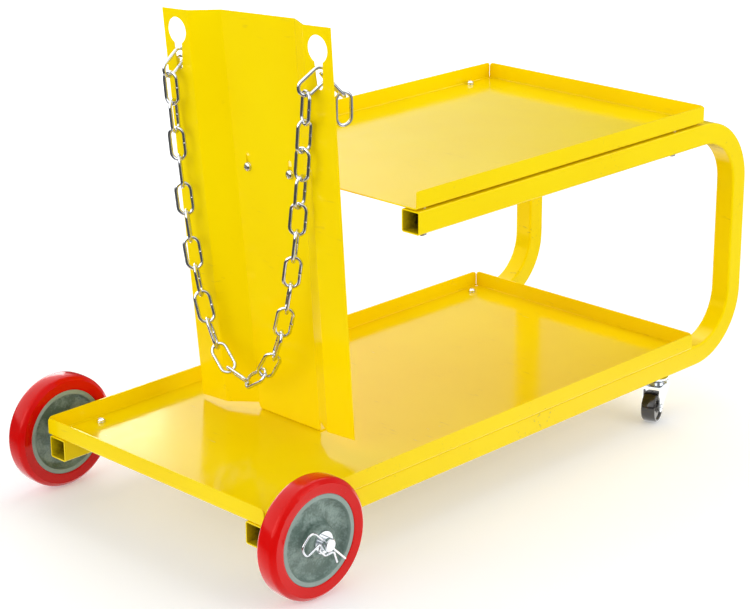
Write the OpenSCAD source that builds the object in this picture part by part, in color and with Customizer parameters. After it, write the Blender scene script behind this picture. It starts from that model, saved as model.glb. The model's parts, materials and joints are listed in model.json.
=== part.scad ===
// Two-shelf welding cart: a cylinder stands on the front of the lower shelf, against a folded
// back plate, and a chain hooked into two keyholes holds it there.
// X runs along the cart, with the big wheels at -X. Z is up. The origin is on the floor,
// under the middle of the cart.

/* [Frame] */
// Outside size of the square tube
tube = 25; // [22:0.5:30]
// Wall thickness of the tube
tube_wall = 1.6; // [1.2:0.1:2.5]
// Outside corner radius of the tube
tube_corner = 2.6; // [2:0.1:4]
// Length of each side rail along the cart
rail_l = 796; // [700:1:900]
// Outside height of each bent rail
rail_h = 300; // [260:1:380]
// Width over both rails
rails_w = 342; // [320:1:380]
// Centreline radius of both rail bends
rail_bend_r = 70; // [55:1:90]
// Distance from the lower to the upper front end of a rail
upper_set_back = 225; // [180:1:260]

/* [Shelves] */
// Thickness of the sheet steel
sheet = 1.5; // [1.2:0.1:2]
// Height of the folded lips
lip_h = 20; // [15:0.5:30]
// Radius of the folds, on the middle of the sheet
fold_r = 2.2; // [1.6:0.1:3.5]
// Length of the lower shelf
lower_shelf_l = 698; // [600:1:760]
// Width of the lower shelf
lower_shelf_w = 350; // [342:1:360]
// Length of the upper shelf, without its front tab
upper_shelf_l = 487; // [400:1:520]
// Width of the upper shelf
upper_shelf_w = 336; // [334:1:350]
// Gap that the spacers leave between the upper shelf and the rails
upper_gap = 1.6; // [1:0.1:4]

/* [Back plate] */
// Height of the back plate
plate_h = 454; // [400:1:500]
// Width of the flat centre panel at its top
panel_top_w = 114; // [100:1:130]
// Width of the flat centre panel at its foot
panel_foot_w = 97; // [80:1:100]
// How far the side walls spread to each side
wall_spread = 33; // [28:1:38]
// Depth of the trough between the flanges
trough_depth = 19.5; // [14:0.5:28]
// Width of each flange
flange_w = 40; // [36:1:46]
// Height of the flange ends over the foot
flange_gap = 11; // [8:1:20]
// Sideways tilt that the plate takes up in its screw slots, in degrees
plate_tilt = 3.25; // [0:0.25:4]
// Forward lean of the plate, in degrees
plate_lean = 1.4; // [0:0.1:3]
// Distance from the rail front ends to the plate's foot
plate_set_back = 207.5; // [190:0.5:212]
// How far the plate's foot is bolted to the right of the middle
plate_shift = 10; // [0:1:14]
// Diameter of the keyhole's round part
keyhole_d = 29.5; // [26:0.5:32]

/* [Chain] */
// Wire diameter of the chain
chain_wire = 4; // [3:0.5:5]
// Inside length of a link
link_inner_l = 30.8; // [26:0.1:34]
// Outside width of a link
link_outer_w = 20.5; // [18:0.5:24]
// Number of links in the hanging loop, an even number
loop_links = 24; // [20:2:26]
// Downward tilt of the two links that pass through the keyholes, in degrees
hook_tilt = 40; // [25:1:50]
// Inward turn of the left one of them, in degrees
hook_turn = 30; // [20:1:35]

/* [Wheels] */
// Diameter of the main wheels
wheel_d = 130; // [120:1:140]
// Width of the main tyres
tyre_w = 27; // [22:1:32]
// Diameter of the hub under the tyre
hub_d = 97; // [88:1:104]
// Diameter of the axle
axle_d = 14; // [12:0.5:15]
// Diameter of the caster wheels
caster_d = 38; // [34:1:42]
// Width of the caster wheels
caster_w = 17; // [14:1:20]
// Trail of each caster wheel behind its swivel
caster_trail = 14; // [10:1:16]
// Turn of both casters at rest, in degrees
caster_turn = 20; // [0:5:45]

/* [Hidden] */
$fn = 96;
yellow = "#f5dc10";
zinc = "#c2c6c8";
steel = "#8f9498";

half_l = (rail_l + wheel_d / 2 - 37) / 2;   // half of the whole cart's length
rear_x = half_l;
front_x = rear_x - rail_l;                  // front ends of the lower rails
axle_x = -half_l + wheel_d / 2;
axle_z = wheel_d / 2;
rail_z = axle_z - tube / 2;                 // underside of the rails
rail_y = (rails_w - tube) / 2;              // middle of each rail
rail_top = rail_z + tube;
upper_x = front_x + upper_set_back;         // front ends of the upper rails and shelf
upper_z = rail_z + rail_h - tube;           // underside of the upper rails
upper_top = upper_z + tube;
deck_z = rail_top + sheet;                  // top of the lower shelf's floor
upper_floor_z = upper_top + upper_gap;      // underside of the upper shelf
bend_out = rail_bend_r + tube / 2;

screw_y = rail_y - 0.5;
lower_screw_x = [front_x + 60, rear_x - 125];
upper_screw_x = [upper_x + 18, rear_x - 132];
screw_d = 5;
head_d = 9.5;
head_h = 3.5;
washer_d = 10;
washer_t = 1;
nut_flats = 8;
nut_h = 4.2;
play = 0.1;                                 // gap round a screw or pin in its hole

plate_x = front_x + plate_set_back;         // front of the centre panel at the floor
taper = atan((panel_top_w - panel_foot_w) / 2 / plate_h);
slot_z = [282, 301];                        // ends of the screw slots, over the foot
plate_screw_z = 285.5;
plate_screw_y = 33;
foot_l = 32;
foot_screw_y = 26;
tab_w = 96;
tab_y = plate_shift + plate_screw_z * sin(plate_tilt);  // middle of the tab, behind the plate
keyhole_y = 109;
keyhole_z = 430.5;
keyhole_end_z = 388.5;                      // lower end of the keyhole's slot
keyhole_end_r = 4.5;
keyhole_neck_r = 6.8;

wheel_y = 201.5;                            // middle of each main wheel
boss_l = 34;
boss_d = 35;
bush_d = 19;
rim_w = tyre_w - 3;
rim_t = 6;
web_t = 7;
key_w = 8;                                  // rib that keys the tyre on the hub
key_h = 3;
axle_end_y = 230;
clip_y = 225.5;
clip_wire = 2.4;

caster_x = rear_x - 145;
caster_z = caster_d / 2;
fork_t = 1.6;
fork_top = rail_z - 7.5;
stud_d = 10;
king_d = 8;
king_head_h = 1.8;
king_gap = 0.3;                             // between the king pin's head and the fork
race_d = 27;
race_t = 2.1;
ball_d = 4.3;
ball_ring_r = 7.4;
ball_count = 10;

link_r = (link_outer_w - chain_wire) / 2;   // centreline radius of a link's ends
link_c = link_inner_l / 2 + chain_wire / 2 - link_r;  // half-length of its straight sides
chain_pitch = link_inner_l - 0.3;
chain_slack_roll = 5;                      // how far loose links turn from square
twist_step = 11.25;                        // and how far links near the keyholes do

// ---- Folded sheet and bent wire -------------------------------------------------------

function unit(v) = v / norm(v);
function left_of(v) = [-v.y, v.x];

// The bend at a path's corner i, as [point, left normal] pairs on an arc of radius r
function bend(path, i, r, steps) =
    let (b = path[i],
        u = unit(b - path[i - 1]),
        w = unit(path[i + 1] - b),
        turn = atan2(u.x * w.y - u.y * w.x, u * w),
        side = sign(turn),
        start = b - u * r * tan(abs(turn) / 2),
        centre = start + left_of(u) * r * side,
        arm = start - centre)
    [for (k = [0 : steps])
        let (t = turn * k / steps,
            p = centre + [arm.x * cos(t) - arm.y * sin(t), arm.x * sin(t) + arm.y * cos(t)])
        [p, unit(p - centre) * -side]];

// A path with a bend at each inner corner, as [point, left normal] pairs. The bends' radii are
// a list with one radius for each point, or one number for all.
function bent(path, r, steps = 8) =
    let (n = len(path))
    concat([[path[0], left_of(unit(path[1] - path[0]))]],
        [for (i = [1 : n - 2]) each bend(path, i, is_list(r) ? r[i] : r, steps)],
        [[path[n - 1], left_of(unit(path[n - 1] - path[n - 2]))]]);

// Cross-section of a sheet of thickness t folded along a path
module folded(path, t, r) {
    line = bent(path, r);
    n = len(line);
    polygon(concat([for (s = line) s[0] + s[1] * t / 2],
        [for (i = [n - 1 : -1 : 0]) line[i][0] - line[i][1] * t / 2]));
}

// Round wire along a flat path, swept as rings of points
module bent_wire(path, bend_r, wire_d) {
    sides = 8;
    line = bent(path, bend_r, 6);
    n = len(line);
    rings = [for (s = line) for (k = [0 : sides - 1])
        let (a = 360 * k / sides, reach = s[1] * cos(a) * wire_d / 2)
        [s[0].x + reach.x, s[0].y + reach.y, sin(a) * wire_d / 2]];
    walls = [for (i = [0 : n - 2]) for (k = [0 : sides - 1])
        let (a = i * sides + k, b = i * sides + (k + 1) % sides)
        each [[a, b, b + sides], [a, b + sides, a + sides]]];
    ends = [[for (k = [sides - 1 : -1 : 0]) k], [for (k = [0 : sides - 1]) (n - 1) * sides + k]];
    polyhedron(rings, concat(walls, ends));
}

module rounded_square(w, h, r) {
    square([w - 2 * r, h], center = true);
    square([w, h - 2 * r], center = true);
    for (x = [-1, 1], y = [-1, 1])
        translate([x * (w / 2 - r), y * (h / 2 - r)])
            circle(r);
}

// ---- Side rails -----------------------------------------------------------------------

module tube_section() {
    difference() {
        rounded_square(tube, tube, tube_corner);
        rounded_square(tube - 2 * tube_wall, tube - 2 * tube_wall, tube_corner - tube_wall);
    }
}

module straight_tube(l) {
    rotate([90, 0, 90])
        linear_extrude(l)
            tube_section();
}

// A quarter turn of tube in the XZ plane, from +X round to +Z
module tube_bend() {
    rotate([90, 0, 0])
        rotate([0, 0, -90])
            rotate_extrude(angle = 90)
                translate([rail_bend_r, 0])
                    tube_section();
}

module side_rail(side) {
    bottom = rail_z + tube / 2;
    top = upper_z + tube / 2;
    corner_x = rear_x - bend_out;
    color(yellow)
        difference() {
            translate([0, side * rail_y, 0]) {
                translate([front_x, 0, bottom])
                    straight_tube(corner_x - front_x);
                translate([corner_x, 0, bottom + rail_bend_r])
                    tube_bend();
                translate([rear_x - tube / 2, 0, bottom + rail_bend_r])
                    linear_extrude(top - bottom - 2 * rail_bend_r)
                        tube_section();
                translate([corner_x, 0, top - rail_bend_r])
                    mirror([0, 0, 1])
                        tube_bend();
                translate([upper_x, 0, top])
                    straight_tube(corner_x - upper_x);
            }
            translate([axle_x, side * rail_y, axle_z])
                rotate([90, 0, 0])
                    cylinder(h = tube + 2, d = axle_d + 2 * play, center = true);
            for (x = lower_screw_x)
                translate([x, side * screw_y, rail_z - 1])
                    cylinder(h = tube + 2, d = screw_d + 2 * play);
            for (x = upper_screw_x)
                translate([x, side * screw_y, upper_z - 1])
                    cylinder(h = tube + 2, d = screw_d + 2 * play);
            translate([caster_x, side * rail_y, rail_z - 1])
                cylinder(h = tube_wall + 2, d = stud_d + 2 * play);
        }
}

// ---- Shelves --------------------------------------------------------------------------

// A lip of length l along +Y, folded up from the floor at x = 0 and ending at x = reach
module lip(l, reach, corner_r = 5) {
    path = [[-1, sheet / 2], [reach - sheet / 2, sheet / 2], [reach - sheet / 2, lip_h]];
    intersection() {
        translate([0, l / 2, 0])
            rotate([90, 0, 0])
                linear_extrude(l)
                    folded(path, sheet, fold_r);
        // the lip's own outline, with both top corners rounded
        translate([-2, 0, 0])
            rotate([90, 0, 90])
                linear_extrude(reach + 4) {
                    translate([0, lip_h - corner_r - 25])
                        square([l, 50], center = true);
                    square([l - 2 * corner_r, 2 * lip_h], center = true);
                    for (s = [-1, 1])
                        translate([s * (l / 2 - corner_r), lip_h - corner_r])
                            circle(corner_r);
                }
    }
}

// Floor and lips. The front lip is left out where front_lip is false.
module shelf_pan(l, w, front_lip) {
    reach = fold_r + sheet / 2 + 0.5;
    seam = 0.6;
    difference() {
        union() {
            translate([front_lip ? reach : 0, -w / 2 + reach, 0])
                cube([l - reach - (front_lip ? reach : 0), w - 2 * reach, sheet]);
            translate([l - reach, 0, 0])
                lip(w - 2 * sheet, reach);
            if (front_lip)
                translate([reach, 0, 0])
                    mirror([1, 0, 0])
                        lip(w - 2 * sheet, reach);
            side_start = front_lip ? sheet + seam : 0;
            side_end = l - sheet - seam;
            for (s = [-1, 1])
                translate([(side_start + side_end) / 2, s * (w / 2 - reach), 0])
                    rotate([0, 0, s * 90])
                        lip(side_end - side_start, reach, front_lip ? 5 : 2.5);
        }
        // relief holes where two folds meet
        for (x = front_lip ? [reach, l - reach] : [l - reach], s = [-1, 1])
            translate([x, s * (w / 2 - reach), -1])
                cylinder(h = sheet + 2.4, d = 4.6);
    }
}

module lower_shelf() {
    color(yellow)
        translate([front_x, 0, rail_top])
            difference() {
                shelf_pan(lower_shelf_l, lower_shelf_w, true);
                for (x = lower_screw_x, s = [-1, 1])
                    translate([x - front_x, s * screw_y, -1])
                        cylinder(h = sheet + 2, d = screw_d + 2 * play);
                for (s = [-1, 1])
                    translate([plate_set_back + sheet + foot_l * 0.6,
                            plate_shift + s * foot_screw_y, -1])
                        cylinder(h = sheet + 2, d = screw_d + 2 * play);
            }
}

// Middle of the tab's upright sheet at height z, close behind the leaning plate
function tab_x(z) =
    let (p = on_plate([1.5 * sheet + 0.05, 0, plate_screw_z]))
    p.x - (z - p.z) * tan(plate_lean);

// The tab reaches forward from the upper shelf's front edge and turns up behind the plate
module plate_tab() {
    floor_z = upper_floor_z + sheet / 2;
    top_z = upper_floor_z + lip_h;
    path = [[upper_x + 1, floor_z], [tab_x(floor_z), floor_z], [tab_x(top_z), top_z]];
    difference() {
        translate([0, tab_y + tab_w / 2, 0])
            rotate([90, 0, 0])
                linear_extrude(tab_w)
                    folded(path, sheet, fold_r);
        plate_screw_places()
            rotate([0, 90, 0])
                cylinder(h = 20, d = screw_d + 2 * play, center = true);
    }
}

module upper_shelf() {
    color(yellow) {
        difference() {
            translate([upper_x, 0, upper_floor_z])
                shelf_pan(upper_shelf_l, upper_shelf_w, false);
            for (x = upper_screw_x, s = [-1, 1])
                translate([x, s * screw_y, upper_floor_z - 1])
                    cylinder(h = sheet + 2, d = screw_d + 2 * play);
        }
        plate_tab();
    }
}

// ---- Back plate -----------------------------------------------------------------------

// Where a point of the plate's own frame lies on the cart
function on_plate(p) =
    let (y = p.y * cos(plate_tilt) + p.z * sin(plate_tilt),
        z = p.z * cos(plate_tilt) - p.y * sin(plate_tilt))
    [plate_x + p.x * cos(plate_lean) - z * sin(plate_lean),
        plate_shift + y,
        deck_z + z * cos(plate_lean) + p.x * sin(plate_lean)];

// The plate's own frame: X is through the sheet, Z up the plate from its foot
module plate_frame() {
    translate([plate_x, plate_shift, deck_z])
        rotate([-plate_tilt, -plate_lean, 0])
            children();
}

module plate_screw_places() {
    for (s = [-1, 1])
        translate(on_plate([0, s * plate_screw_y, plate_screw_z]))
            rotate([0, -plate_lean, 0])
                children();
}

module keyhole() {
    translate([0, keyhole_z])
        circle(keyhole_d / 2);
    translate([0, keyhole_end_z + keyhole_end_r])
        circle(keyhole_end_r);
    neck_z = keyhole_z - keyhole_d / 2 + 2;
    polygon([[-keyhole_end_r, keyhole_end_z + keyhole_end_r],
        [keyhole_end_r, keyhole_end_z + keyhole_end_r],
        [keyhole_neck_r, neck_z], [-keyhole_neck_r, neck_z]]);
}

// One wing of the plate: the slanted wall and the flange, leaning out with the taper
module plate_wing() {
    path = [[sheet / 2, -6], [sheet / 2, 0], [sheet / 2 - trough_depth, wall_spread],
        [sheet / 2 - trough_depth, wall_spread + flange_w]];
    corner_r = 4;
    intersection() {
        translate([0, panel_foot_w / 2, 0])
            rotate([-taper, 0, 0])
                translate([0, 0, -20])
                    linear_extrude(plate_h + 40)
                        folded(path, sheet, 3);
        // level ends and a rounded outer top corner
        translate([-trough_depth - 5, 0, flange_gap])
            cube([trough_depth + 10, 200, plate_h - flange_gap]);
    }
}

module back_plate() {
    foot_path = [[sheet / 2, 30], [sheet / 2, sheet / 2], [foot_l, sheet / 2]];
    half_top = panel_top_w / 2;
    half_foot = panel_foot_w / 2;
    color(yellow)
        union() {
            difference() {
                plate_frame()
                    difference() {
                        union() {
                            rotate([90, 0, 90])
                                linear_extrude(sheet)
                                    polygon([[-half_foot, -3], [half_foot, -3],
                                        [half_foot + flange_gap * tan(taper), flange_gap],
                                        [half_top, plate_h], [-half_top, plate_h],
                                        [-half_foot - flange_gap * tan(taper), flange_gap]]);
                            plate_wing();
                            mirror([0, 1, 0])
                                plate_wing();
                        }
                        for (s = [-1, 1]) {
                            translate([-5, s * plate_screw_y, 0])
                                rotate([90, 0, 90])
                                    linear_extrude(10) {
                                        translate([0, (slot_z[0] + slot_z[1]) / 2])
                                            square([screw_d + 0.8, slot_z[1] - slot_z[0]
                                                - screw_d - 0.8], center = true);
                                        for (z = [slot_z[0] + screw_d / 2 + 0.4,
                                                slot_z[1] - screw_d / 2 - 0.4])
                                            translate([0, z])
                                                circle(screw_d / 2 + 0.4);
                                    }
                            translate([-trough_depth - 5, s * keyhole_y, 0])
                                rotate([90, 0, 90])
                                    linear_extrude(14)
                                        keyhole();
                        }
                    }
                // the panel stops where the level foot's bend begins
                translate([plate_x - 40, -150, deck_z - 20])
                    cube([80, 300, 20 + fold_r + sheet / 2 + 0.4]);
            }
            plate_foot();
        }
}

// The foot folds back from the panel and lies level on the lower shelf
module plate_foot() {
    rise = fold_r + sheet / 2 + 1;
    path = [[sheet / 2 - rise * tan(plate_lean), rise], [sheet / 2, sheet / 2],
        [foot_l, sheet / 2]];
    translate([plate_x, plate_shift, deck_z])
        difference() {
            translate([0, panel_foot_w / 2 - 1, 0])
                rotate([90, 0, 0])
                    linear_extrude(panel_foot_w - 2)
                        folded(path, sheet, fold_r);
            for (s = [-1, 1])
                translate([sheet + foot_l * 0.6, s * foot_screw_y, -1])
                    cylinder(h = sheet + 2, d = screw_d + 2 * play);
        }
}

// ---- Screws, washers and nuts ---------------------------------------------------------

// A pan-head screw with its washer, head up, its washer's underside at z = 0
module screw(l) {
    dome_r = 8;
    cylinder(h = washer_t, d = washer_d);
    translate([0, 0, washer_t])
        cylinder(h = head_h * 0.35, d = head_d);
    translate([0, 0, washer_t + head_h * 0.35])
        intersection() {
            cylinder(h = head_h * 0.65, d = head_d);
            translate([0, 0, head_h * 0.65 - dome_r])
                sphere(dome_r);
        }
    translate([0, 0, -l])
        cylinder(h = l + 0.1, d = screw_d);
}

// A hex nut with a washer above it, its washer's top at z = 0
module nut() {
    difference() {
        union() {
            translate([0, 0, -washer_t])
                cylinder(h = washer_t, d = washer_d);
            translate([0, 0, -washer_t - nut_h])
                cylinder(h = nut_h, d = nut_flats / cos(30), $fn = 6);
        }
        translate([0, 0, -washer_t - nut_h - 1])
            cylinder(h = nut_h + washer_t + 2, d = screw_d + 0.06);
    }
}

module lower_shelf_screws() {
    color(steel)
        for (x = lower_screw_x, s = [-1, 1])
            translate([x, s * screw_y, deck_z])
                screw(tube + sheet + washer_t + nut_h + 0.6);
}

module lower_shelf_nuts() {
    color(steel)
        for (x = lower_screw_x, s = [-1, 1])
            translate([x, s * screw_y, rail_z])
                nut();
}

module upper_shelf_screws() {
    color(steel)
        for (x = upper_screw_x, s = [-1, 1])
            translate([x, s * screw_y, upper_floor_z + sheet])
                screw(tube + upper_gap + sheet + washer_t + nut_h + 1);
}

module upper_shelf_spacers() {
    color(steel)
        for (x = upper_screw_x, s = [-1, 1])
            translate([x, s * screw_y, upper_top])
                difference() {
                    cylinder(h = upper_gap, d = washer_d);
                    translate([0, 0, -1])
                        cylinder(h = upper_gap + 2, d = screw_d + 2 * play);
                }
}

module upper_shelf_nuts() {
    color(steel)
        for (x = upper_screw_x, s = [-1, 1])
            translate([x, s * screw_y, upper_z])
                nut();
}

module plate_screws() {
    color(steel)
        plate_screw_places()
            rotate([0, -90, 0])
                screw(2 * sheet + 0.2 + washer_t + nut_h + 1);
}

module plate_nuts() {
    color(steel)
        plate_screw_places()
            translate([2 * sheet + 0.1, 0, 0])
                rotate([0, -90, 0])
                    nut();
}

module foot_screws() {
    color(steel)
        for (s = [-1, 1])
            translate([plate_x + sheet + foot_l * 0.6, plate_shift + s * foot_screw_y,
                    deck_z + sheet])
                screw(2 * sheet + washer_t + nut_h + 1);
}

module foot_nuts() {
    color(steel)
        for (s = [-1, 1])
            translate([plate_x + sheet + foot_l * 0.6, plate_shift + s * foot_screw_y, rail_top])
                nut();
}

// ---- Main wheels ----------------------------------------------------------------------

// Turns a profile drawn in X (radius) and Y (along the axle) round the axle's line
module on_axle(y) {
    translate([axle_x, y, axle_z])
        rotate([-90, 0, 0])
            children();
}

module wheel_axle() {
    color(zinc)
        difference() {
            on_axle(-axle_end_y)
                union() {
                    translate([0, 0, 1])
                        cylinder(h = 2 * axle_end_y - 2, d = axle_d);
                    cylinder(h = 1, d1 = axle_d - 2, d2 = axle_d);
                    translate([0, 0, 2 * axle_end_y - 1])
                        cylinder(h = 1, d1 = axle_d, d2 = axle_d - 2);
                }
            for (s = [-1, 1])
                clip_frame(s)
                    rotate([0, 90, 0])
                        cylinder(h = 2 * axle_d, d = clip_wire + 0.4, center = true);
        }
}

module axle_spacers() {
    inner = rails_w / 2 + play;
    outer = wheel_y - boss_l / 2 - play;
    color(zinc)
        for (s = [0, 1])
            mirror([0, s, 0])
                on_axle(inner)
                    difference() {
                        cylinder(h = outer - inner, d = 22);
                        translate([0, 0, -1])
                            cylinder(h = outer - inner + 2, d = axle_d + 2 * play);
                    }
}

module axle_washers() {
    color(zinc)
        for (s = [0, 1])
            mirror([0, s, 0])
                on_axle(wheel_y + boss_l / 2 + play)
                    difference() {
                        cylinder(h = 1.8, d = 24);
                        translate([0, 0, -1])
                            cylinder(h = 4, d = axle_d + 2 * play);
                    }
}

// Frame of a hitch clip: X along its straight leg, through the middle of the axle
module clip_frame(side) {
    translate([axle_x, side * clip_y, axle_z])
        rotate([-90, 0, 0])
            rotate([0, 0, 45])
                children();
}

// The clip's straight leg goes through the axle. Past the eye, the other leg bulges round it.
module r_clip(side) {
    hug = axle_d / 2 + clip_wire / 2 + 0.6;
    path = [[34, 0], [-29.5, 0], [-30.5, 21.5], [-17, 23], [-hug - 0.4, 1.2],
        [2 - hug, hug + 1.8], [hug - 3.8, hug + 1.8], [13, 2], [26, 8.5]];
    color(zinc)
        clip_frame(side)
            bent_wire(path, [0, 8, 8, 5, 1.8, 4.5, 4.5, 3, 0], clip_wire);
}

module wheel_tyre(side) {
    crown = 5;
    color("#d81c14")
        on_axle(side * wheel_y)
            rotate_extrude()
                difference() {
                    union() {
                        translate([hub_d / 2, -tyre_w / 2 + 1])
                            square([wheel_d / 2 - crown - hub_d / 2, tyre_w - 2]);
                        translate([hub_d / 2, -tyre_w / 2 + crown])
                            square([(wheel_d - hub_d) / 2, tyre_w - 2 * crown]);
                        for (s = [-1, 1]) {
                            translate([wheel_d / 2 - crown, s * (tyre_w / 2 - crown)])
                                circle(crown);
                            translate([wheel_d / 2 - crown - 5, s * (tyre_w / 2 - 3)])
                                circle(3);
                        }
                    }
                    // groove that the hub's rib fills
                    translate([hub_d / 2 - 1, -key_w / 2])
                        square([key_h + 1, key_w]);
                }
}

// Outline of half the hub, from its bore out to the rib that keys the tyre on
hub_outline = [[bush_d / 2, boss_l / 2 - 0.7], [bush_d / 2 + 0.7, boss_l / 2],
    [boss_d / 2 - 1.2, boss_l / 2], [boss_d / 2, boss_l / 2 - 1.2],
    [boss_d / 2 + 1.5, web_t / 2 + 3], [boss_d / 2 + 4.5, web_t / 2],
    [hub_d / 2 - rim_t - 4, web_t / 2], [hub_d / 2 - rim_t, web_t / 2 + 4],
    [hub_d / 2 - rim_t + 1, rim_w / 2], [hub_d / 2, rim_w / 2],
    [hub_d / 2, key_w / 2], [hub_d / 2 + key_h, key_w / 2]];

module wheel_hub(side) {
    n = len(hub_outline);
    mirrored = [for (i = [n - 1 : -1 : 0]) [hub_outline[i].x, -hub_outline[i].y]];
    color("#64736a")
        on_axle(side * wheel_y)
            rotate_extrude()
                polygon(concat(hub_outline, mirrored));
}

module wheel_bushing(side) {
    color("#2c2e2c")
        on_axle(side * wheel_y)
            difference() {
                cylinder(h = boss_l, d = bush_d, center = true);
                cylinder(h = boss_l + 2, d = axle_d + 2 * 0.05, center = true);
            }
}

// ---- Casters --------------------------------------------------------------------------

module caster_place(side) {
    translate([caster_x, side * rail_y, 0])
        children();
}

// The turned frame of a caster: its wheel trails towards -X
module caster_frame(side) {
    caster_place(side)
        rotate([0, 0, caster_turn])
            children();
}

// Threaded stud, fixed race plate and king pin, riveted over under the fork
module caster_stem(side) {
    race_z = rail_z - race_t - 0.1;
    king_z = fork_top - fork_t - king_gap - king_head_h;
    color(zinc)
        caster_place(side) {
            translate([0, 0, race_z])
                cylinder(h = race_t, d = race_d);
            translate([0, 0, race_z + 0.5])
                cylinder(h = tube_wall + 12, d = stud_d);
            translate([0, 0, king_z])
                cylinder(h = race_z + 0.5 - king_z, d = king_d);
            translate([0, 0, king_z])
                cylinder(h = king_head_h, d = 13);
            // dished rim that covers the balls
            translate([0, 0, race_z - 2])
                difference() {
                    cylinder(h = 2, d1 = race_d - 3, d2 = race_d);
                    translate([0, 0, -1])
                        cylinder(h = 3, d = race_d - 5);
                }
        }
}

module caster_weld_nuts() {
    color(steel)
        for (s = [-1, 1])
            caster_place(s)
                translate([0, 0, rail_z + tube_wall + 0.05])
                    difference() {
                        cylinder(h = 8, d = 17 / cos(30), $fn = 6);
                        translate([0, 0, -1])
                            cylinder(h = 10, d = stud_d + 0.06);
                    }
}

module caster_balls(side) {
    color(steel)
        caster_place(side)
            for (i = [0 : ball_count - 1])
                rotate(360 * i / ball_count)
                    translate([ball_ring_r, 0, fork_top + ball_d / 2 + 0.1])
                        sphere(d = ball_d, $fn = 24);
}

module fork_leg_outline() {
    tip_r = 6.2;
    difference() {
        union() {
            translate([-caster_trail, caster_z])
                circle(tip_r);
            polygon([[-caster_trail - tip_r, caster_z], [-caster_trail + tip_r * 0.9, caster_z - 2.6],
                [14, fork_top - 7], [14, fork_top - fork_t / 2], [-19.5, fork_top - fork_t / 2],
                [-20.2, fork_top - 12]]);
        }
        translate([-caster_trail, caster_z])
            circle(2.6);
    }
}

module caster_fork(side) {
    leg_y = caster_w / 2 + 1.2;
    color(zinc)
        caster_frame(side) {
            for (s = [-1, 1])
                translate([0, s * (leg_y + fork_t / 2) + fork_t / 2, 0])
                    rotate([90, 0, 0])
                        linear_extrude(fork_t)
                            fork_leg_outline();
            difference() {
                union() {
                    translate([-19.5, -leg_y - fork_t, fork_top - fork_t])
                        cube([33.5, 2 * (leg_y + fork_t), fork_t]);
                    translate([0, 0, fork_top - fork_t])
                        cylinder(h = fork_t, d = race_d - 1);
                    // turned-up race that the balls run in
                    translate([0, 0, fork_top - 0.1])
                        difference() {
                            cylinder(h = 2, d = race_d - 6);
                            translate([0, 0, -1])
                                cylinder(h = 4, d = race_d - 7.6);
                        }
                }
                translate([0, 0, fork_top - 3])
                    cylinder(h = 6, d = king_d + 2 * 0.05);
            }
        }
}

module caster_wheel(side) {
    r = caster_d / 2;
    color("#1c1a19")
        caster_frame(side)
            translate([-caster_trail, 0, caster_z])
                rotate([-90, 0, 0])
                    rotate_extrude()
                        difference() {
                            union() {
                                translate([2.55, -caster_w / 2 + 1.5])
                                    square([r - 2.55, caster_w - 3]);
                                translate([2.55, -caster_w / 2])
                                    square([r - 4.05, caster_w]);
                                for (s = [-1, 1])
                                    translate([r - 1.5, s * (caster_w / 2 - 1.5)])
                                        circle(1.5, $fn = 32);
                            }
                            // dished faces between the tread and the boss
                            for (s = [-1, 1])
                                translate([7, s * caster_w / 2 - 2])
                                    square([r - 10.5, 4]);
                        }
}

module caster_rivet(side) {
    l = caster_w + 2.4 + 2 * fork_t;
    color(zinc)
        caster_frame(side)
            translate([-caster_trail, 0, caster_z])
                rotate([-90, 0, 0]) {
                    cylinder(h = l + 2, d = 5, center = true);
                    for (s = [-1, 1])
                        translate([0, 0, s * (l / 2 + 0.85)])
                            cylinder(h = 1.5, d = 8.4, center = true);
                }
}

// ---- Chain ----------------------------------------------------------------------------

// A link with its length along Y, flat in the XY plane
module link() {
    for (s = [-1, 1]) {
        translate([s * link_r, 0, 0])
            rotate([90, 0, 0])
                cylinder(h = 2 * link_c, d = chain_wire, center = true);
        translate([0, s * link_c, 0])
            rotate([0, 0, s > 0 ? 0 : 180])
                rotate_extrude(angle = 180)
                    translate([link_r, 0])
                        circle(chain_wire / 2);
    }
}

hook_back = [1.2, 0.6];          // from the flange's front to the rear end's centre, by side
hook_over = [1.8, 0.9];          // from the slot's lower end to the hook link, by side
reach_x = 2 * link_c * cos(hook_tilt);
reach_z = 2 * link_c * sin(hook_tilt);
hang = link_r - chain_wire - 0.4;   // a hanging wire's drop from the centre of a link's end

// Middle of the rear end of the link that passes through a keyhole's slot
function slot_point(side) =
    let (k = side < 0 ? 0 : 1)
    on_plate([-trough_depth, side * keyhole_y,
        keyhole_end_z + link_outer_w / 2 / cos(hook_tilt) + hook_over[k]])
    + [hook_back[k], 0, 0];

function turn_of(side) = side < 0 ? hook_turn : 0;
function hook_end(side) =
    slot_point(side) + [-reach_x * cos(turn_of(side)), reach_x * sin(turn_of(side)), -reach_z];
function hang_point(side) = hook_end(side) - [0, 0, hang];   // middle of the next link's wire

module chain_hook_link(side) {
    color(zinc)
        translate(slot_point(side))
            rotate([0, 0, -turn_of(side)])
                translate([-reach_x / 2, 0, -reach_z / 2])
                    rotate([0, -hook_tilt, 0])
                        rotate([0, 0, 90])
                            rotate([0, 90, 0])
                                link();
}

// The link behind each keyhole lies across its slot, so that the chain can't pull through.
// On the left-hand side one more link hangs from it.
module chain_retaining_links() {
    color(zinc)
        for (side = [-1, 1]) {
            dip = side < 0 ? 48 : 75;
            turn = side < 0 ? 23 : 0;
            through = side < 0 ? [3.6, 0.6, 1.3] : [3.4, 0, 0];   // its wire inside the hook link
            half_l = link_c + link_r;
            translate(slot_point(side) + through)
                rotate([0, 0, -turn]) {
                    rotate([0, dip, 0])
                        translate([half_l, 0, 0])
                            rotate([0, 0, 90])
                                link();
                    if (side < 0)
                        translate([2 * half_l * cos(dip), 0,
                                chain_wire + 0.12 - half_l - 2 * half_l * sin(dip)])
                            rotate([90, 0, 0])
                                link();
                }
        }
}

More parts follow.
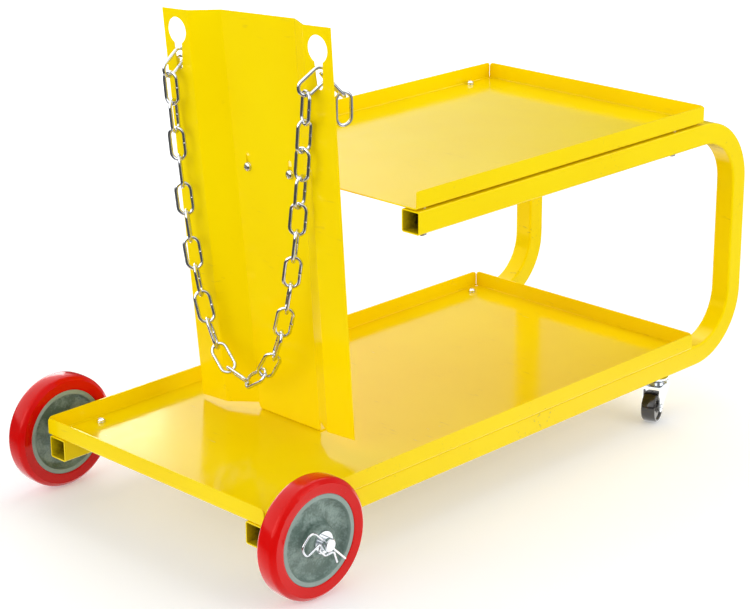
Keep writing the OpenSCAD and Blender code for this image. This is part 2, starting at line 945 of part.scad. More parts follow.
function sinh(x) = (exp(x) - exp(-x)) / 2;
function cosh(x) = (exp(x) + exp(-x)) / 2;
function asinh(x) = ln(x + sqrt(x * x + 1));

// The catenary's size a, for which a chain of length l spans s with its ends v apart in height
function catenary_a(s, v, l, low, high, n) =
    let (mid = (low + high) / 2)
    n == 0 ? mid
    : 2 * mid * sinh(s / 2 / mid) > sqrt(l * l - v * v)
        ? catenary_a(s, v, l, mid, high, n - 1)
        : catenary_a(s, v, l, low, mid, n - 1);

a_end = hang_point(1) - [0, 0, chain_wire / 2];
b_end = hang_point(-1) - [0, 0, chain_wire / 2];
loop_span = norm([a_end.x - b_end.x, a_end.y - b_end.y]);
loop_turn = atan2(b_end.x - a_end.x, a_end.y - b_end.y);   // of the loop's plane from YZ

// Joints of the loop, evenly spaced along the catenary between the two hook links. Each is
// [distance from the left end along the plane, height].
function loop_joints() =
    let (length = loop_links * chain_pitch,
        v = a_end.z - b_end.z,
        a = catenary_a(loop_span, v, length, 15, 300, 40),
        low = loop_span / 2 - a * asinh(v / (2 * a * sinh(loop_span / 2 / a))),
        first = a * sinh((loop_span - low) / a))
    [for (i = [0 : loop_links])
        let (s = low + a * asinh((first - i * chain_pitch) / a))
        [s, a_end.z + a * (cosh((s - low) / a) - cosh((loop_span - low) / a))]];

// Roll of link i about its own length. Neighbours are square to each other, apart from the
// twist steps near the keyholes, which bring the end links square to the hook links, and from
// a little play.
function link_roll(i) =
    let (left = i > loop_links / 2,
        from_end = left ? loop_links + 1 - i : i,
        twist = max(0, 45 + (left ? hook_turn : 0) - twist_step * from_end))
    90 * i - 45 + (left ? -twist : twist)
    + chain_slack_roll * sin(150 * i) * min(1, (from_end - 1) / 2);

module chain_loop() {
    joints = loop_joints();
    color(zinc)
        translate([b_end.x, b_end.y, 0])
            rotate([0, 0, loop_turn])
                for (i = [1 : loop_links]) {
                    a = joints[i - 1];
                    b = joints[i];
                    translate([0, (a.x + b.x) / 2, (a.y + b.y) / 2])
                        rotate([atan2(b.y - a.y, b.x - a.x), 0, 0])
                            rotate([0, link_roll(i), 0])
                                link();
                }
}

side_rail(-1);  // side_rail_left
side_rail(1);  // side_rail_right
lower_shelf();
upper_shelf();
back_plate();
wheel_axle();
axle_spacers();
axle_washers();
r_clip(-1);  // r_clip_left
r_clip(1);  // r_clip_right
wheel_tyre(-1);  // wheel_tyre_left
wheel_tyre(1);  // wheel_tyre_right
wheel_hub(-1);  // wheel_hub_left
wheel_hub(1);  // wheel_hub_right
wheel_bushing(-1);  // wheel_bushing_left
wheel_bushing(1);  // wheel_bushing_right
lower_shelf_screws();
lower_shelf_nuts();
upper_shelf_screws();
upper_shelf_spacers();
upper_shelf_nuts();
plate_screws();
plate_nuts();
foot_screws();
foot_nuts();
caster_stem(-1);  // caster_stem_left
caster_stem(1);  // caster_stem_right
caster_weld_nuts();
caster_balls(-1);  // caster_balls_left
caster_balls(1);  // caster_balls_right
caster_fork(-1);  // caster_fork_left
caster_fork(1);  // caster_fork_right
caster_wheel(-1);  // caster_wheel_left
caster_wheel(1);  // caster_wheel_right
caster_rivet(-1);  // caster_rivet_left
caster_rivet(1);  // caster_rivet_right
chain_hook_link(-1);  // chain_hook_link_left
chain_hook_link(1);  // chain_hook_link_right
chain_retaining_links();
chain_loop();
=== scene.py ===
# %% [markdown]
# # A two-shelf welding cart
# The cart has two folded trays on bent square tube, a folded plate with a chain for one gas
# cylinder, two big wheels and two small casters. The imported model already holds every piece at
# its real size. This script gives those pieces their finish, and swaps the small turned and
# bent pieces for smoother surfaces that are worked out with numpy.

# %% Load the frame
import json
import math

import bmesh
import bpy
import numpy as np
from mathutils import Matrix, Vector


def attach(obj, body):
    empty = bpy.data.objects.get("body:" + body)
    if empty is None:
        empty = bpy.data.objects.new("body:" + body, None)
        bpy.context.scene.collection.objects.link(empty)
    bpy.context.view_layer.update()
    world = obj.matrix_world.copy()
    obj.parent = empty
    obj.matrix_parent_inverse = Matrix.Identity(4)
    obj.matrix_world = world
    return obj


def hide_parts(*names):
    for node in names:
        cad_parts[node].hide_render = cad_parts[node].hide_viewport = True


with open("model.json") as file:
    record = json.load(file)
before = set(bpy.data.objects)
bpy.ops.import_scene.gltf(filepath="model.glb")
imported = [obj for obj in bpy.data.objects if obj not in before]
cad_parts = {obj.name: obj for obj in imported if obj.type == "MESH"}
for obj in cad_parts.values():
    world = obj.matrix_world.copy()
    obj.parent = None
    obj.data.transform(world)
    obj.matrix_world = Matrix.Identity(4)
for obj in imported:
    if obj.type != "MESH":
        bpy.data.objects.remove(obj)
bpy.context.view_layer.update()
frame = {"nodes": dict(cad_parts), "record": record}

nodes = frame["nodes"]

# %% [markdown]
# ## Camera
# A long lens from well back, a little above the upper tray, keeps the cart's long edges nearly
# parallel. The camera's turn is built from three angles: yaw round the vertical, pitch down,
# and a slight roll. A matrix whose columns are right, up and backwards says the same thing
# without any doubt about the order of the turns.

# %% Camera
CAMERA_PLACE = (-1.6799, -1.6134, 0.9873)
CAMERA_YAW = math.radians(44.73)
CAMERA_PITCH = math.radians(-19.28)
CAMERA_ROLL = math.radians(-0.41)
CAMERA_LENS = 103.5
SENSOR_WIDTH = 36.0


def camera_matrix(place, yaw, pitch, roll):
    """Forward is (cos pitch cos yaw, cos pitch sin yaw, sin pitch), right is level and square to
    it, up is right times forward, and the roll turns right and up about forward."""
    forward = np.array([
        math.cos(pitch) * math.cos(yaw), math.cos(pitch) * math.sin(yaw), math.sin(pitch)
    ])
    right = np.array([math.sin(yaw), -math.cos(yaw), 0.0])
    up = np.cross(right, forward)
    turned_right = math.cos(roll) * right + math.sin(roll) * up
    turned_up = math.cos(roll) * up - math.sin(roll) * right
    matrix = np.eye(4)
    matrix[:3] = np.stack([turned_right, turned_up, -forward, place], 1)
    return Matrix(matrix.tolist())


camera = bpy.data.objects.new("camera", bpy.data.cameras.new("camera"))
camera.data.lens = CAMERA_LENS
camera.data.sensor_width = SENSOR_WIDTH
camera.matrix_world = camera_matrix(CAMERA_PLACE, CAMERA_YAW, CAMERA_PITCH, CAMERA_ROLL)
bpy.context.scene.collection.objects.link(camera)
bpy.context.scene.camera = camera
bpy.context.scene.view_settings.view_transform = "Standard"
print("camera", [round(x, 3) for x in camera.location], "lens", camera.data.lens)

# %% [markdown]
# ## Nodes in code
# The world, the floor and every finish are node trees. A tree written out line by line is long
# and hard to read, so a few helpers add a node and fill its sockets by name. Each returns the
# output that the next node needs, and a formula then reads from the inside outwards.

# %% Nodes with named sockets


def add(tree, kind, sockets=(), **settings):
    """Adds a node, sets its properties, and fills its sockets with values or links."""
    made = tree.nodes.new(kind)
    for key, value in settings.items():
        setattr(made, key, value)
    for key, value in dict(sockets).items():
        if isinstance(value, bpy.types.NodeSocket):
            tree.links.new(value, made.inputs[key])
        else:
            made.inputs[key].default_value = value
    return made


def maths(tree, operation, a, b=0.0):
    """One Math node of the given operation, and its output socket."""
    return add(tree, "ShaderNodeMath", {0: a, 1: b}, operation=operation).outputs[0]


def spread(tree, value, span, to_span=(0.0, 1.0)):
    """Maps value from the two ends of span to the two ends of to_span, clamped. Any end may be a
    number or a link."""
    ends = {"From Min": span[0], "From Max": span[1], "To Min": to_span[0], "To Max": to_span[1]}
    return add(tree, "ShaderNodeMapRange", {"Value": value, **ends}).outputs[0]


def blend(tree, factor, a, b):
    """The number a where factor is 0 and the number b where it is 1."""
    return add(tree, "ShaderNodeMix", {"Factor": factor, "A": a, "B": b}).outputs[0]


def mixed(tree, factor, a, b):
    """Colour a where factor is 0 and colour b where it is 1. 6 and 7 are the colour sockets."""
    sockets = {"Factor": factor, 6: a, 7: b}
    return add(tree, "ShaderNodeMix", sockets, data_type="RGBA").outputs[2]


def new_tree(owner):
    """Turns on the nodes of a world or a material, and empties its tree."""
    owner.use_nodes = True
    owner.node_tree.nodes.clear()
    return owner.node_tree


print("helpers", [helper.__name__ for helper in (add, maths, spread, blend, mixed, new_tree)])

# %% [markdown]
# ## The room
# The background is white because the world is white to camera rays. As light on the cart it is
# weaker, and weaker still from above, so that the cart keeps its shading.
#
# Bright metal and glossy paint show the room around them. In an evenly white room a chain looks
# like grey string, and yellow paint is washed out by its own gloss. So the room that gloss sees
# has dark walls, a bright ceiling, one paler side, and a bright wall on the far side that shows
# in the trays. Every round wire then carries a white streak and a dark one. A picture of a real
# room would do it too, but these few numbers are easier to steer.

# %% World
WHITE = (1.0, 1.0, 1.0, 1.0)
HORIZON_LIGHT, ZENITH_LIGHT, LIGHT_RISE = 1.45, 0.4, (0.1, 0.8)
DARK_WALL, CEILING, CEILING_RISE = 0.08, 1.0, (0.35, 0.7)
SIDE_WALL, SIDE_TURN = 0.4, (0.35, 1.0)
FAR_WALL, FAR_CORNER, FAR_TURN, FAR_RISE = 1.8, 0.15, (-0.2, 0.15), (0.15, 0.25)


def bright_side(tree, vector):
    """1 towards +X -Y and 0 away from it, from the two level parts of a place or direction."""
    parts = add(tree, "ShaderNodeSeparateXYZ", {"Vector": vector}).outputs
    return spread(tree, maths(tree, "SUBTRACT", parts["X"], parts["Y"]), SIDE_TURN)


world = bpy.data.worlds.new("studio")
bpy.context.scene.world = world
tree = new_tree(world)
rays = add(tree, "ShaderNodeLightPath").outputs
seen = maths(tree, "MAXIMUM", rays["Is Camera Ray"], rays["Is Transmission Ray"])
towards = add(tree, "ShaderNodeTexCoord").outputs["Generated"]
parts = add(tree, "ShaderNodeSeparateXYZ", {"Vector": towards}).outputs
around = spread(tree, parts["Z"], LIGHT_RISE, (HORIZON_LIGHT, ZENITH_LIGHT))
ceiling = spread(tree, parts["Z"], CEILING_RISE, (DARK_WALL, CEILING))
across = maths(tree, "SUBTRACT", parts["Y"], parts["X"])
to_far_side = spread(tree, across, FAR_TURN, (FAR_CORNER, FAR_WALL))
far_wall = maths(tree, "MULTIPLY", spread(tree, parts["Z"], FAR_RISE), to_far_side)
side_wall = maths(tree, "MULTIPLY", bright_side(tree, towards), SIDE_WALL)
room = maths(tree, "MAXIMUM", ceiling, maths(tree, "MAXIMUM", far_wall, side_wall))
lit = blend(tree, rays["Is Glossy Ray"], around, room)
sky = add(tree, "ShaderNodeBackground", {"Color": WHITE, "Strength": blend(tree, seen, lit, 1.0)})
add(tree, "ShaderNodeOutputWorld", {"Surface": sky.outputs[0]})
print("world of", len(tree.nodes), "nodes")

# %% [markdown]
# ## Lamps
# Product light is large and soft. Four panels stand round the cart: one over it, one on the side
# nearer to the camera, one beyond it that draws light along the trays, and one in front of the
# plate. Large panels give soft shadows, and their even size keeps any one edge from glaring.

# %% Lamps
CENTRE = (0.0, 0.0, 0.25)


def softbox(name, place, width, height, power):
    """A rectangular area lamp at place, turned to face the middle of the cart."""
    lamp = bpy.data.lights.new(name, "AREA")
    lamp.shape = "RECTANGLE"
    lamp.size, lamp.size_y, lamp.energy = width, height, power
    box = bpy.data.objects.new(name, lamp)
    box.location = place
    box.rotation_euler = (Vector(CENTRE) - Vector(place)).to_track_quat("-Z", "Y").to_euler()
    bpy.context.scene.collection.objects.link(box)
    print("lamp", name, power, "W")


softbox("key_side", (0.9, -2.6, 1.5), 2.0, 1.6, 18.0)
softbox("far_side", (0.7, 2.8, 0.8), 2.0, 1.2, 26.0)
softbox("top", (1.0, 0.4, 2.3), 2.2, 2.0, 20.0)
softbox("front_fill", (-2.8, 0.2, 1.3), 1.6, 1.6, 17.0)

# %% [markdown]
# ## Floor
# The floor is a pale sheet that glows a little for the camera, more with distance, so that it
# runs into the white background without an edge and still keeps the cart's shadow. To gloss rays
# it glows close under the cart and is painted dark further out, like a pale sheet on a dark
# workshop floor. This glow and dark, seen only in reflections, are painted light that gives the
# sides of the rails and wheels their darker and paler bands.

# %% Floor
FLOOR_HALF = 14.0
FLOOR_COLOR, DARK_FLOOR, DARK_FROM = (0.8, 0.8, 0.8, 1.0), (0.08, 0.08, 0.08, 1.0), (0.3, 0.6)
NEAR_LIFT, FAR_LIFT, LIFT_FROM = 0.3, 1.0, (1.2, 3.5)
GLOSS_LIFT, GLOSS_FADE = 0.9, (0.45, 0.7)

floor_mesh = bpy.data.meshes.new("floor")
corners = [(x * FLOOR_HALF, y * FLOOR_HALF, 0.0) for x, y in ((-1, -1), (1, -1), (1, 1), (-1, 1))]
floor_mesh.from_pydata(corners, [], [(0, 1, 2, 3)])
floor = bpy.data.objects.new("floor", floor_mesh)
bpy.context.scene.collection.objects.link(floor)

floor_paint = bpy.data.materials.new("floor_paint")
tree = new_tree(floor_paint)
rays = add(tree, "ShaderNodeLightPath").outputs
place = add(tree, "ShaderNodeTexCoord").outputs["Object"]
distance = add(tree, "ShaderNodeVectorMath", {0: place}, operation="LENGTH").outputs["Value"]
# To gloss rays the floor is painted dark beyond the cart and paler towards +X -Y: a painted
# reflection.
pale_side = maths(tree, "MULTIPLY", bright_side(tree, place), SIDE_WALL)
dark_side = maths(tree, "SUBTRACT", spread(tree, distance, DARK_FROM), pale_side)
shade = maths(tree, "MULTIPLY", rays["Is Glossy Ray"], maths(tree, "MAXIMUM", dark_side, 0.0))
matt = add(tree, "ShaderNodeBsdfDiffuse", {"Color": mixed(tree, shade, FLOOR_COLOR, DARK_FLOOR)})
lift_size = spread(tree, distance, LIFT_FROM, (NEAR_LIFT, FAR_LIFT))
# Glow that only gloss rays see close under the cart: painted light for the reflections in the rails
# and wheels.
gloss_size = spread(tree, distance, GLOSS_FADE, (GLOSS_LIFT, 0.0))
seen_lift = maths(tree, "MULTIPLY", rays["Is Camera Ray"], lift_size)
gloss_lift = maths(tree, "MULTIPLY", rays["Is Glossy Ray"], gloss_size)
lift = maths(tree, "ADD", seen_lift, gloss_lift)
glow = add(tree, "ShaderNodeEmission", {"Color": WHITE, "Strength": lift})
both = add(tree, "ShaderNodeAddShader", {0: matt.outputs[0], 1: glow.outputs[0]})
add(tree, "ShaderNodeOutputMaterial", {"Surface": both.outputs[0]})
floor_mesh.materials.append(floor_paint)
print("floor", FLOOR_HALF * 2, "m wide")

# %% [markdown]
# ## Shared effects
# Powder coat isn't flat: it flows into a fine orange peel, and its tone drifts a little over a
# panel. Zinc plate is bright but cloudy, and drawn or pressed steel has fine lines. Each effect
# is a node group that puts out only colours, masks, values and heights, so that several finishes
# share it with their own numbers. The shader itself stays in the material, where its gloss and
# coat are set.

# %% Group helpers
KINDS = {"float": "NodeSocketFloat", "color": "NodeSocketColor", "vector": "NodeSocketVector"}


def new_group(name, inputs, outputs):
    """A shader node group with named float, colour or vector sockets. Returns its tree, the
    outputs of its input node, and its output node."""
    group = bpy.data.node_groups.new(name, "ShaderNodeTree")
    for socket, kind in inputs.items():
        group.interface.new_socket(socket, in_out="INPUT", socket_type=KINDS[kind])
    for socket, kind in outputs.items():
        group.interface.new_socket(socket, in_out="OUTPUT", socket_type=KINDS[kind])
    print("group", name, "gives", *outputs)
    return group, add(group, "NodeGroupInput").outputs, add(group, "NodeGroupOutput")


def give(group, out, **results):
    """Links each result to the group's output of that name."""
    for key, value in results.items():
        group.links.new(value, out.inputs[key])


def noise(tree, vector, scale, detail=2.0):
    """The value of a noise texture, from 0 to 1, with the given number of grains a metre."""
    sockets = {"Vector": vector, "Scale": scale, "Detail": detail}
    return add(tree, "ShaderNodeTexNoise", sockets).outputs["Fac"]


SURFACE = {"Color": "color", "Roughness": "float", "Height": "float"}

# %% Orange peel of powder coat
DRIFT_GRAINS, GLOSS_GRAINS, PEEL_ROUGH = 7.0, 60.0, (0.1, 0.17)

peel_inputs = {"Vector": "vector", "Color": "color", "Deep Color": "color", "Grain": "float"}
peel, ends, out = new_group("orange_peel", peel_inputs, SURFACE)
drift = spread(peel, noise(peel, ends["Vector"], DRIFT_GRAINS, 3.0), (0.35, 0.7))
give(
    peel, out,
    Color=mixed(peel, drift, ends["Color"], ends["Deep Color"]),
    Roughness=spread(peel, noise(peel, ends["Vector"], GLOSS_GRAINS), (0.3, 0.7), PEEL_ROUGH),
    Height=noise(peel, ends["Vector"], ends["Grain"], 1.0),
)

# %% Cloudy plated metal with fine drawn lines
CLOUD_GRAINS, RUB_GRAINS, PLATE_ROUGH = 90.0, 260.0, (0.1, 0.22)

plated_inputs = {"Vector": "vector", "Color": "color", "Tint": "color", "Lines": "float"}
plated, ends, out = new_group("plated_metal", plated_inputs, SURFACE)
cloud = spread(plated, noise(plated, ends["Vector"], CLOUD_GRAINS, 4.0), (0.3, 0.75))
rubbed = noise(plated, ends["Vector"], RUB_GRAINS, 3.0)
give(
    plated, out,
    Color=mixed(plated, cloud, ends["Color"], ends["Tint"]),
    Roughness=spread(plated, rubbed, (0.25, 0.75), PLATE_ROUGH),
    Height=noise(plated, ends["Vector"], ends["Lines"], 2.0),
)

# %% [markdown]
# A moulded hub is mottled, because the hot plastic swirls as it fills the mould. Its rim ring is
# painted paler, a painted highlight where the raised rim catches the light. The swirl is a coarse
# noise with fine specks added. The rim is found by the distance from the axle, in the two
# directions square to it.

# %% Mottled moulding of a wheel's hub, with a painted highlight on its rim
HUB_X, HUB_Z = -0.347, 0.065
# The rim ring's painted highlight: where it starts from the axle, and how far it pales the rim.
RIM_SPAN, RIM_HIGHLIGHT_SHARE = (0.0422, 0.0436), 0.8
BLOTCH_GRAINS, SPECK_GRAINS, HUB_ROUGH = 62.0, 420.0, (0.38, 0.55)

mottle_and_highlight_inputs = {**peel_inputs, "Rim Color": "color"}
mottle_and_highlight, ends, out = new_group("hub_mottle", mottle_and_highlight_inputs, SURFACE)
parts = add(mottle_and_highlight, "ShaderNodeSeparateXYZ", {"Vector": ends["Vector"]}).outputs
along = maths(mottle_and_highlight, "SUBTRACT", parts["X"], HUB_X)
up = maths(mottle_and_highlight, "SUBTRACT", parts["Z"], HUB_Z)
flat = add(mottle_and_highlight, "ShaderNodeCombineXYZ", {"X": along, "Z": up}).outputs[0]
from_axle = add(mottle_and_highlight, "ShaderNodeVectorMath", {0: flat}, operation="LENGTH").outputs["Value"]
blotch = spread(mottle_and_highlight, noise(mottle_and_highlight, ends["Vector"], BLOTCH_GRAINS, 6.0), (0.4, 0.62))
speck = spread(mottle_and_highlight, noise(mottle_and_highlight, ends["Vector"], SPECK_GRAINS, 3.0), (0.35, 0.7), (-0.3, 0.3))
body_tone = mixed(mottle_and_highlight, maths(mottle_and_highlight, "ADD", blotch, speck), ends["Deep Color"], ends["Color"])
# Painted highlight: the rim ring is made paler, towards the rim colour.
rim = maths(mottle_and_highlight, "MULTIPLY", spread(mottle_and_highlight, from_axle, RIM_SPAN), RIM_HIGHLIGHT_SHARE)
give(
    mottle_and_highlight, out,
    Color=mixed(mottle_and_highlight, rim, body_tone, ends["Rim Color"]),
    Roughness=spread(mottle_and_highlight, blotch, (0.0, 1.0), HUB_ROUGH),
    Height=noise(mottle_and_highlight, ends["Vector"], ends["Grain"], 2.0),
)

# %% [markdown]
# Scuffs are short dull streaks that gather in patches, and there are more of them low down,
# where boots and cylinders knock. A noise that is stretched along one direction gives streaks,
# a coarse one picks the patches, and the product of the two keeps streaks inside patches.

# %% Dust and scuffs
STREAK_GRAINS, STREAK_SHAPE, STREAK_TURN = 240.0, (1.0, 0.16, 1.0), (0.0, 0.0, 0.5)
PATCH_GRAINS, HIGH_SHARE = 14.0, 0.35

scuff_inputs = {"Vector": "vector", "Amount": "float", "Reach": "float"}
scuffs, ends, out = new_group("scuffs", scuff_inputs, {"Mask": "float"})
stretch = {"Vector": ends["Vector"], "Scale": STREAK_SHAPE, "Rotation": STREAK_TURN}
stretched = add(scuffs, "ShaderNodeMapping", stretch).outputs[0]
fine = spread(scuffs, noise(scuffs, stretched, STREAK_GRAINS, 2.0), (0.64, 0.7))
patch = spread(scuffs, noise(scuffs, ends["Vector"], PATCH_GRAINS, 2.0), (0.52, 0.66))
height = add(scuffs, "ShaderNodeSeparateXYZ", {"Vector": ends["Vector"]}).outputs["Z"]
low_down = spread(scuffs, height, (0.0, ends["Reach"]), (1.0, HIGH_SHARE))
worn = maths(scuffs, "MULTIPLY", maths(scuffs, "MULTIPLY", patch, fine), low_down)
give(scuffs, out, Mask=maths(scuffs, "MULTIPLY", worn, ends["Amount"]))

# %% [markdown]
# Powder is drawn to the outside of a tube and thins out inside its open ends, so that deeper in
# the bore there is dark unpainted steel. The darkening with depth is also painted shade, for the
# shade that falls deeper in the bore. The mask finds the bores by place: near the middle of a
# rail's width and height, and stronger with depth behind the open mouth. The outer bends cross
# the same heights, so the mask stops before them. The inner faces could be given a material of
# their own instead, but then nothing would fade.

# %% Unpainted steel and painted shade inside the tubes
RAIL_Y, RAIL_HEIGHTS, BORE_HALF = 0.1585, (0.065, 0.34), 0.0112
LOWER_MOUTH_X, UPPER_MOUTH_X, BENDS_FROM = -0.384, -0.159, 0.32
UPPER_FROM_Z, FADE_DEPTH, MOUTH_SHARE = 0.2, 0.02, 0.3

bare_and_shade_inputs = {"Vector": "vector", "Noise Scale": "float"}
bare_and_shade, ends, out = new_group("bare_inside", bare_and_shade_inputs, {"Mask": "float"})
parts = add(bare_and_shade, "ShaderNodeSeparateXYZ", {"Vector": ends["Vector"]}).outputs


def apart(value, centre):
    """How far value is from centre."""
    return maths(bare_and_shade, "ABSOLUTE", maths(bare_and_shade, "SUBTRACT", value, centre))


from_middle = apart(maths(bare_and_shade, "ABSOLUTE", parts["Y"]), RAIL_Y)
from_height = maths(bare_and_shade, "MINIMUM", *[apart(parts["Z"], height) for height in RAIL_HEIGHTS])
in_width = maths(bare_and_shade, "LESS_THAN", from_middle, BORE_HALF)
in_height = maths(bare_and_shade, "LESS_THAN", from_height, BORE_HALF)
in_front = maths(bare_and_shade, "LESS_THAN", parts["X"], BENDS_FROM)
in_tube = maths(bare_and_shade, "MULTIPLY", maths(bare_and_shade, "MULTIPLY", in_width, in_height), in_front)
is_upper = maths(bare_and_shade, "GREATER_THAN", parts["Z"], UPPER_FROM_Z)
mouth = blend(bare_and_shade, is_upper, LOWER_MOUTH_X, UPPER_MOUTH_X)
behind_mouth = maths(bare_and_shade, "SUBTRACT", parts["X"], mouth)
# Darker with depth behind the mouth: unpainted steel, and painted shade deeper in the bore.
depth = spread(bare_and_shade, behind_mouth, (0.0, FADE_DEPTH), (MOUTH_SHARE, 1.0))
grain = noise(bare_and_shade, ends["Vector"], ends["Noise Scale"], 3.0)
blown = spread(bare_and_shade, grain, (0.4, 0.65), (1.0, 0.75))
give(bare_and_shade, out, Mask=maths(bare_and_shade, "MULTIPLY", maths(bare_and_shade, "MULTIPLY", in_tube, depth), blown))

# %% [markdown]
# ## Materials
# One function lays out what all materials share: object coordinates, an effect group for colour,
# roughness and height, a bump, and the shader. What is the same all over a surface, such as the
# coat, is set on the shader's own sockets. The colours are written as a screen shows them,
# because that is how a maker's colour card reads, and turned into linear light.

# %% One layout for all materials
FINISHES = {}


def linear(red, green, blue):
    """A screen colour from 0 to 255 as the linear colour that the shader works in."""
    c = np.array([red, green, blue]) / 255.0
    c = np.where(c <= 0.04045, c / 12.92, ((c + 0.055) / 1.055) ** 2.4)
    return (*c.tolist(), 1.0)


def finish_material(name, group, sockets, bump, shader, scuff=None, inside=None):
    """The finish of one material slot, whose colour, roughness and height come from one effect
    group. bump is the depth of the height in metres. scuff is (amount, reach, colour, roughness)
    of worn spots, and inside is (group, grain, colour) of a place that the finish doesn't reach,
    whose colour also stands for painted shade there."""
    made = FINISHES[name] = bpy.data.materials.new(name + "_finish")
    tree = new_tree(made)
    where = {"Vector": add(tree, "ShaderNodeTexCoord").outputs["Object"]}
    effect = add(tree, "ShaderNodeGroup", {**where, **sockets}, node_tree=group).outputs
    color, rough = effect["Color"], effect["Roughness"]
    if scuff:
        amount, reach, scuff_color, scuff_rough = scuff
        values = {**where, "Amount": amount, "Reach": reach}
        mask = add(tree, "ShaderNodeGroup", values, node_tree=scuffs).outputs["Mask"]
        color = mixed(tree, mask, color, scuff_color)
        rough = blend(tree, mask, rough, scuff_rough)
    if inside:
        inside_group, grain, inside_color = inside
        values = {**where, "Noise Scale": grain}
        mask = add(tree, "ShaderNodeGroup", values, node_tree=inside_group).outputs["Mask"]
        color = mixed(tree, mask, color, inside_color)
    relief = {"Height": effect["Height"], "Distance": bump, "Strength": 1.0}
    normal = add(tree, "ShaderNodeBump", relief).outputs[0]
    surface = {"Base Color": color, "Roughness": rough, "Normal": normal, **shader}
    bsdf = add(tree, "ShaderNodeBsdfPrincipled", surface)
    add(tree, "ShaderNodeOutputMaterial", {"Surface": bsdf.outputs[0]})
    print("finish", name, "from", group.name)


# %% [markdown]
# ## Yellow powder coat
# The rails, the trays and the plate share one glossy yellow coat. A pale gloss on yellow looks
# chalky, so the gloss that faces the viewer is tinted towards the coat's own colour and only
# the grazing gloss stays white. The rails take darker scuffs than the trays.

# %% Yellow powder coat
YELLOW, DEEP_YELLOW = linear(250, 223, 3), linear(248, 217, 1)
POWDER = {"IOR": 1.5, "Specular Tint": (1.0, 0.72, 0.02, 1.0)}
PEEL_DEPTH = 0.00003
powder = {"Color": YELLOW, "Deep Color": DEEP_YELLOW}

# The dark colour inside the tubes, linear(70, 60, 18), is unpainted steel with painted shade deeper
# in.
finish_material(
    "frame_yellow", peel, {**powder, "Grain": 700.0}, PEEL_DEPTH, POWDER,
    scuff=(0.6, 0.25, linear(120, 108, 70), 0.6), inside=(bare_and_shade, 300.0, linear(70, 60, 18)),
)
finish_material(
    "sheet_yellow", peel, {**powder, "Grain": 520.0}, PEEL_DEPTH, POWDER,
    scuff=(0.5, 0.3, linear(190, 165, 60), 0.55),
)

# %% [markdown]
# ## Plated steel
# Chain, screws, clips and balls are zinc plated. All take the plated group on a fully metallic
# shader, and differ only by a shade: the chain is a little greyer, and the screws' plate turns
# faintly warm where it is passivated.

# %% Plated steel
METAL = {"Metallic": 1.0}
PLATE_DEPTH = 0.000003
zinc = {"Color": linear(236, 239, 242), "Tint": linear(214, 220, 226), "Lines": 900.0}
chain_zinc = {**zinc, "Color": linear(226, 228, 231), "Tint": linear(200, 203, 208)}

finish_material("zinc_bright", plated, zinc, PLATE_DEPTH, METAL)
finish_material("chain_steel", plated, chain_zinc, PLATE_DEPTH, METAL)
finish_material(
    "fastener_steel", plated, {**zinc, "Tint": linear(206, 203, 190)}, PLATE_DEPTH, METAL
)
finish_material("ball_steel", plated, zinc, 0.000002, METAL)

# %% [markdown]
# ## Tyres, hubs and casters
# The tyre is cast red polyurethane, smooth with a low sheen, and the hub a mottled grey-green
# moulding with a thin clear skin. Bushings are dull dark nylon, and the caster wheels a harder
# black plastic that dust settles on.

# %% Rubber and plastics
TYRE_DEPTH, HUB_DEPTH = 0.00004, 0.00008

red = {"Color": linear(216, 10, 8), "Deep Color": linear(200, 6, 5), "Grain": 380.0}
finish_material(
    "tyre_red", peel, red, TYRE_DEPTH, {"IOR": 1.5, "Specular Tint": (1.0, 0.3, 0.28, 1.0)},
    scuff=(0.7, 0.12, linear(160, 40, 34), 0.7),
)
# The rim colour is a painted highlight, paler than the mottled body of the hub.
hub_tones = {
    "Color": linear(146, 166, 158), "Deep Color": linear(94, 115, 106),
    "Rim Color": linear(146, 164, 157), "Grain": 900.0,
}
finish_material(
    "hub_grey", mottle_and_highlight, hub_tones, HUB_DEPTH,
    {"IOR": 1.46, "Coat Weight": 0.15, "Coat Roughness": 0.25},
)
nylon = {"Color": linear(44, 45, 44), "Deep Color": linear(36, 37, 36), "Grain": 900.0}
finish_material("bushing_dark", peel, nylon, PEEL_DEPTH, {"IOR": 1.48})
black = {"Color": linear(38, 34, 32), "Deep Color": linear(30, 27, 26), "Grain": 800.0}
finish_material(
    "caster_black", peel, black, PEEL_DEPTH,
    {"IOR": 1.5, "Coat Weight": 0.3, "Coat Roughness": 0.2},
    scuff=(0.8, 0.04, linear(90, 86, 80), 0.7),
)

# %% [markdown]
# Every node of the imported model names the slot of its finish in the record, so one short loop
# dresses them all, and a piece that is swapped later takes its finish by the same name.

# %% Give every node of the frame its finish
slots = {part["node"]: part["material_slot"] for part in frame["record"]["subparts"]}
for name, node_object in nodes.items():
    for material_slot in node_object.material_slots:
        material_slot.material = FINISHES[slots[name]]
print("dressed", len(slots), "nodes in", len(FINISHES), "finishes")

# %% [markdown]
# ## Small turned and bent pieces
# Screws, nuts, chain links and clips are the pieces that an eye goes to, because they catch the
# light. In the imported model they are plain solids. Here each becomes a surface on a grid: the
# rows of the grid follow an outline, and its columns go round it. A grid is one array of points,
# so numpy works out a whole screw or link at once. All lengths are in millimetres until the
# last step, where a piece becomes a mesh in metres.

# %% Frames and grids
MM = 0.001


def shift(x, y, z):
    """A 4 by 4 matrix that moves by x, y, z."""
    return np.array(Matrix.Translation((x, y, z)))


def turn(axis, degrees):
    """A 4 by 4 matrix that turns about an axis through the origin."""
    return np.array(Matrix.Rotation(math.radians(degrees), 4, axis))


def moved(matrix, points):
    """The points taken through a 4 by 4 matrix: the turn first, then the move."""
    return points @ matrix[:3, :3].T + matrix[:3, 3]


def moved_grids(matrix, grids):
    """A set of grids, each (points, closed_along), taken through one matrix."""
    return [(moved(matrix, points), closed) for points, closed in grids]


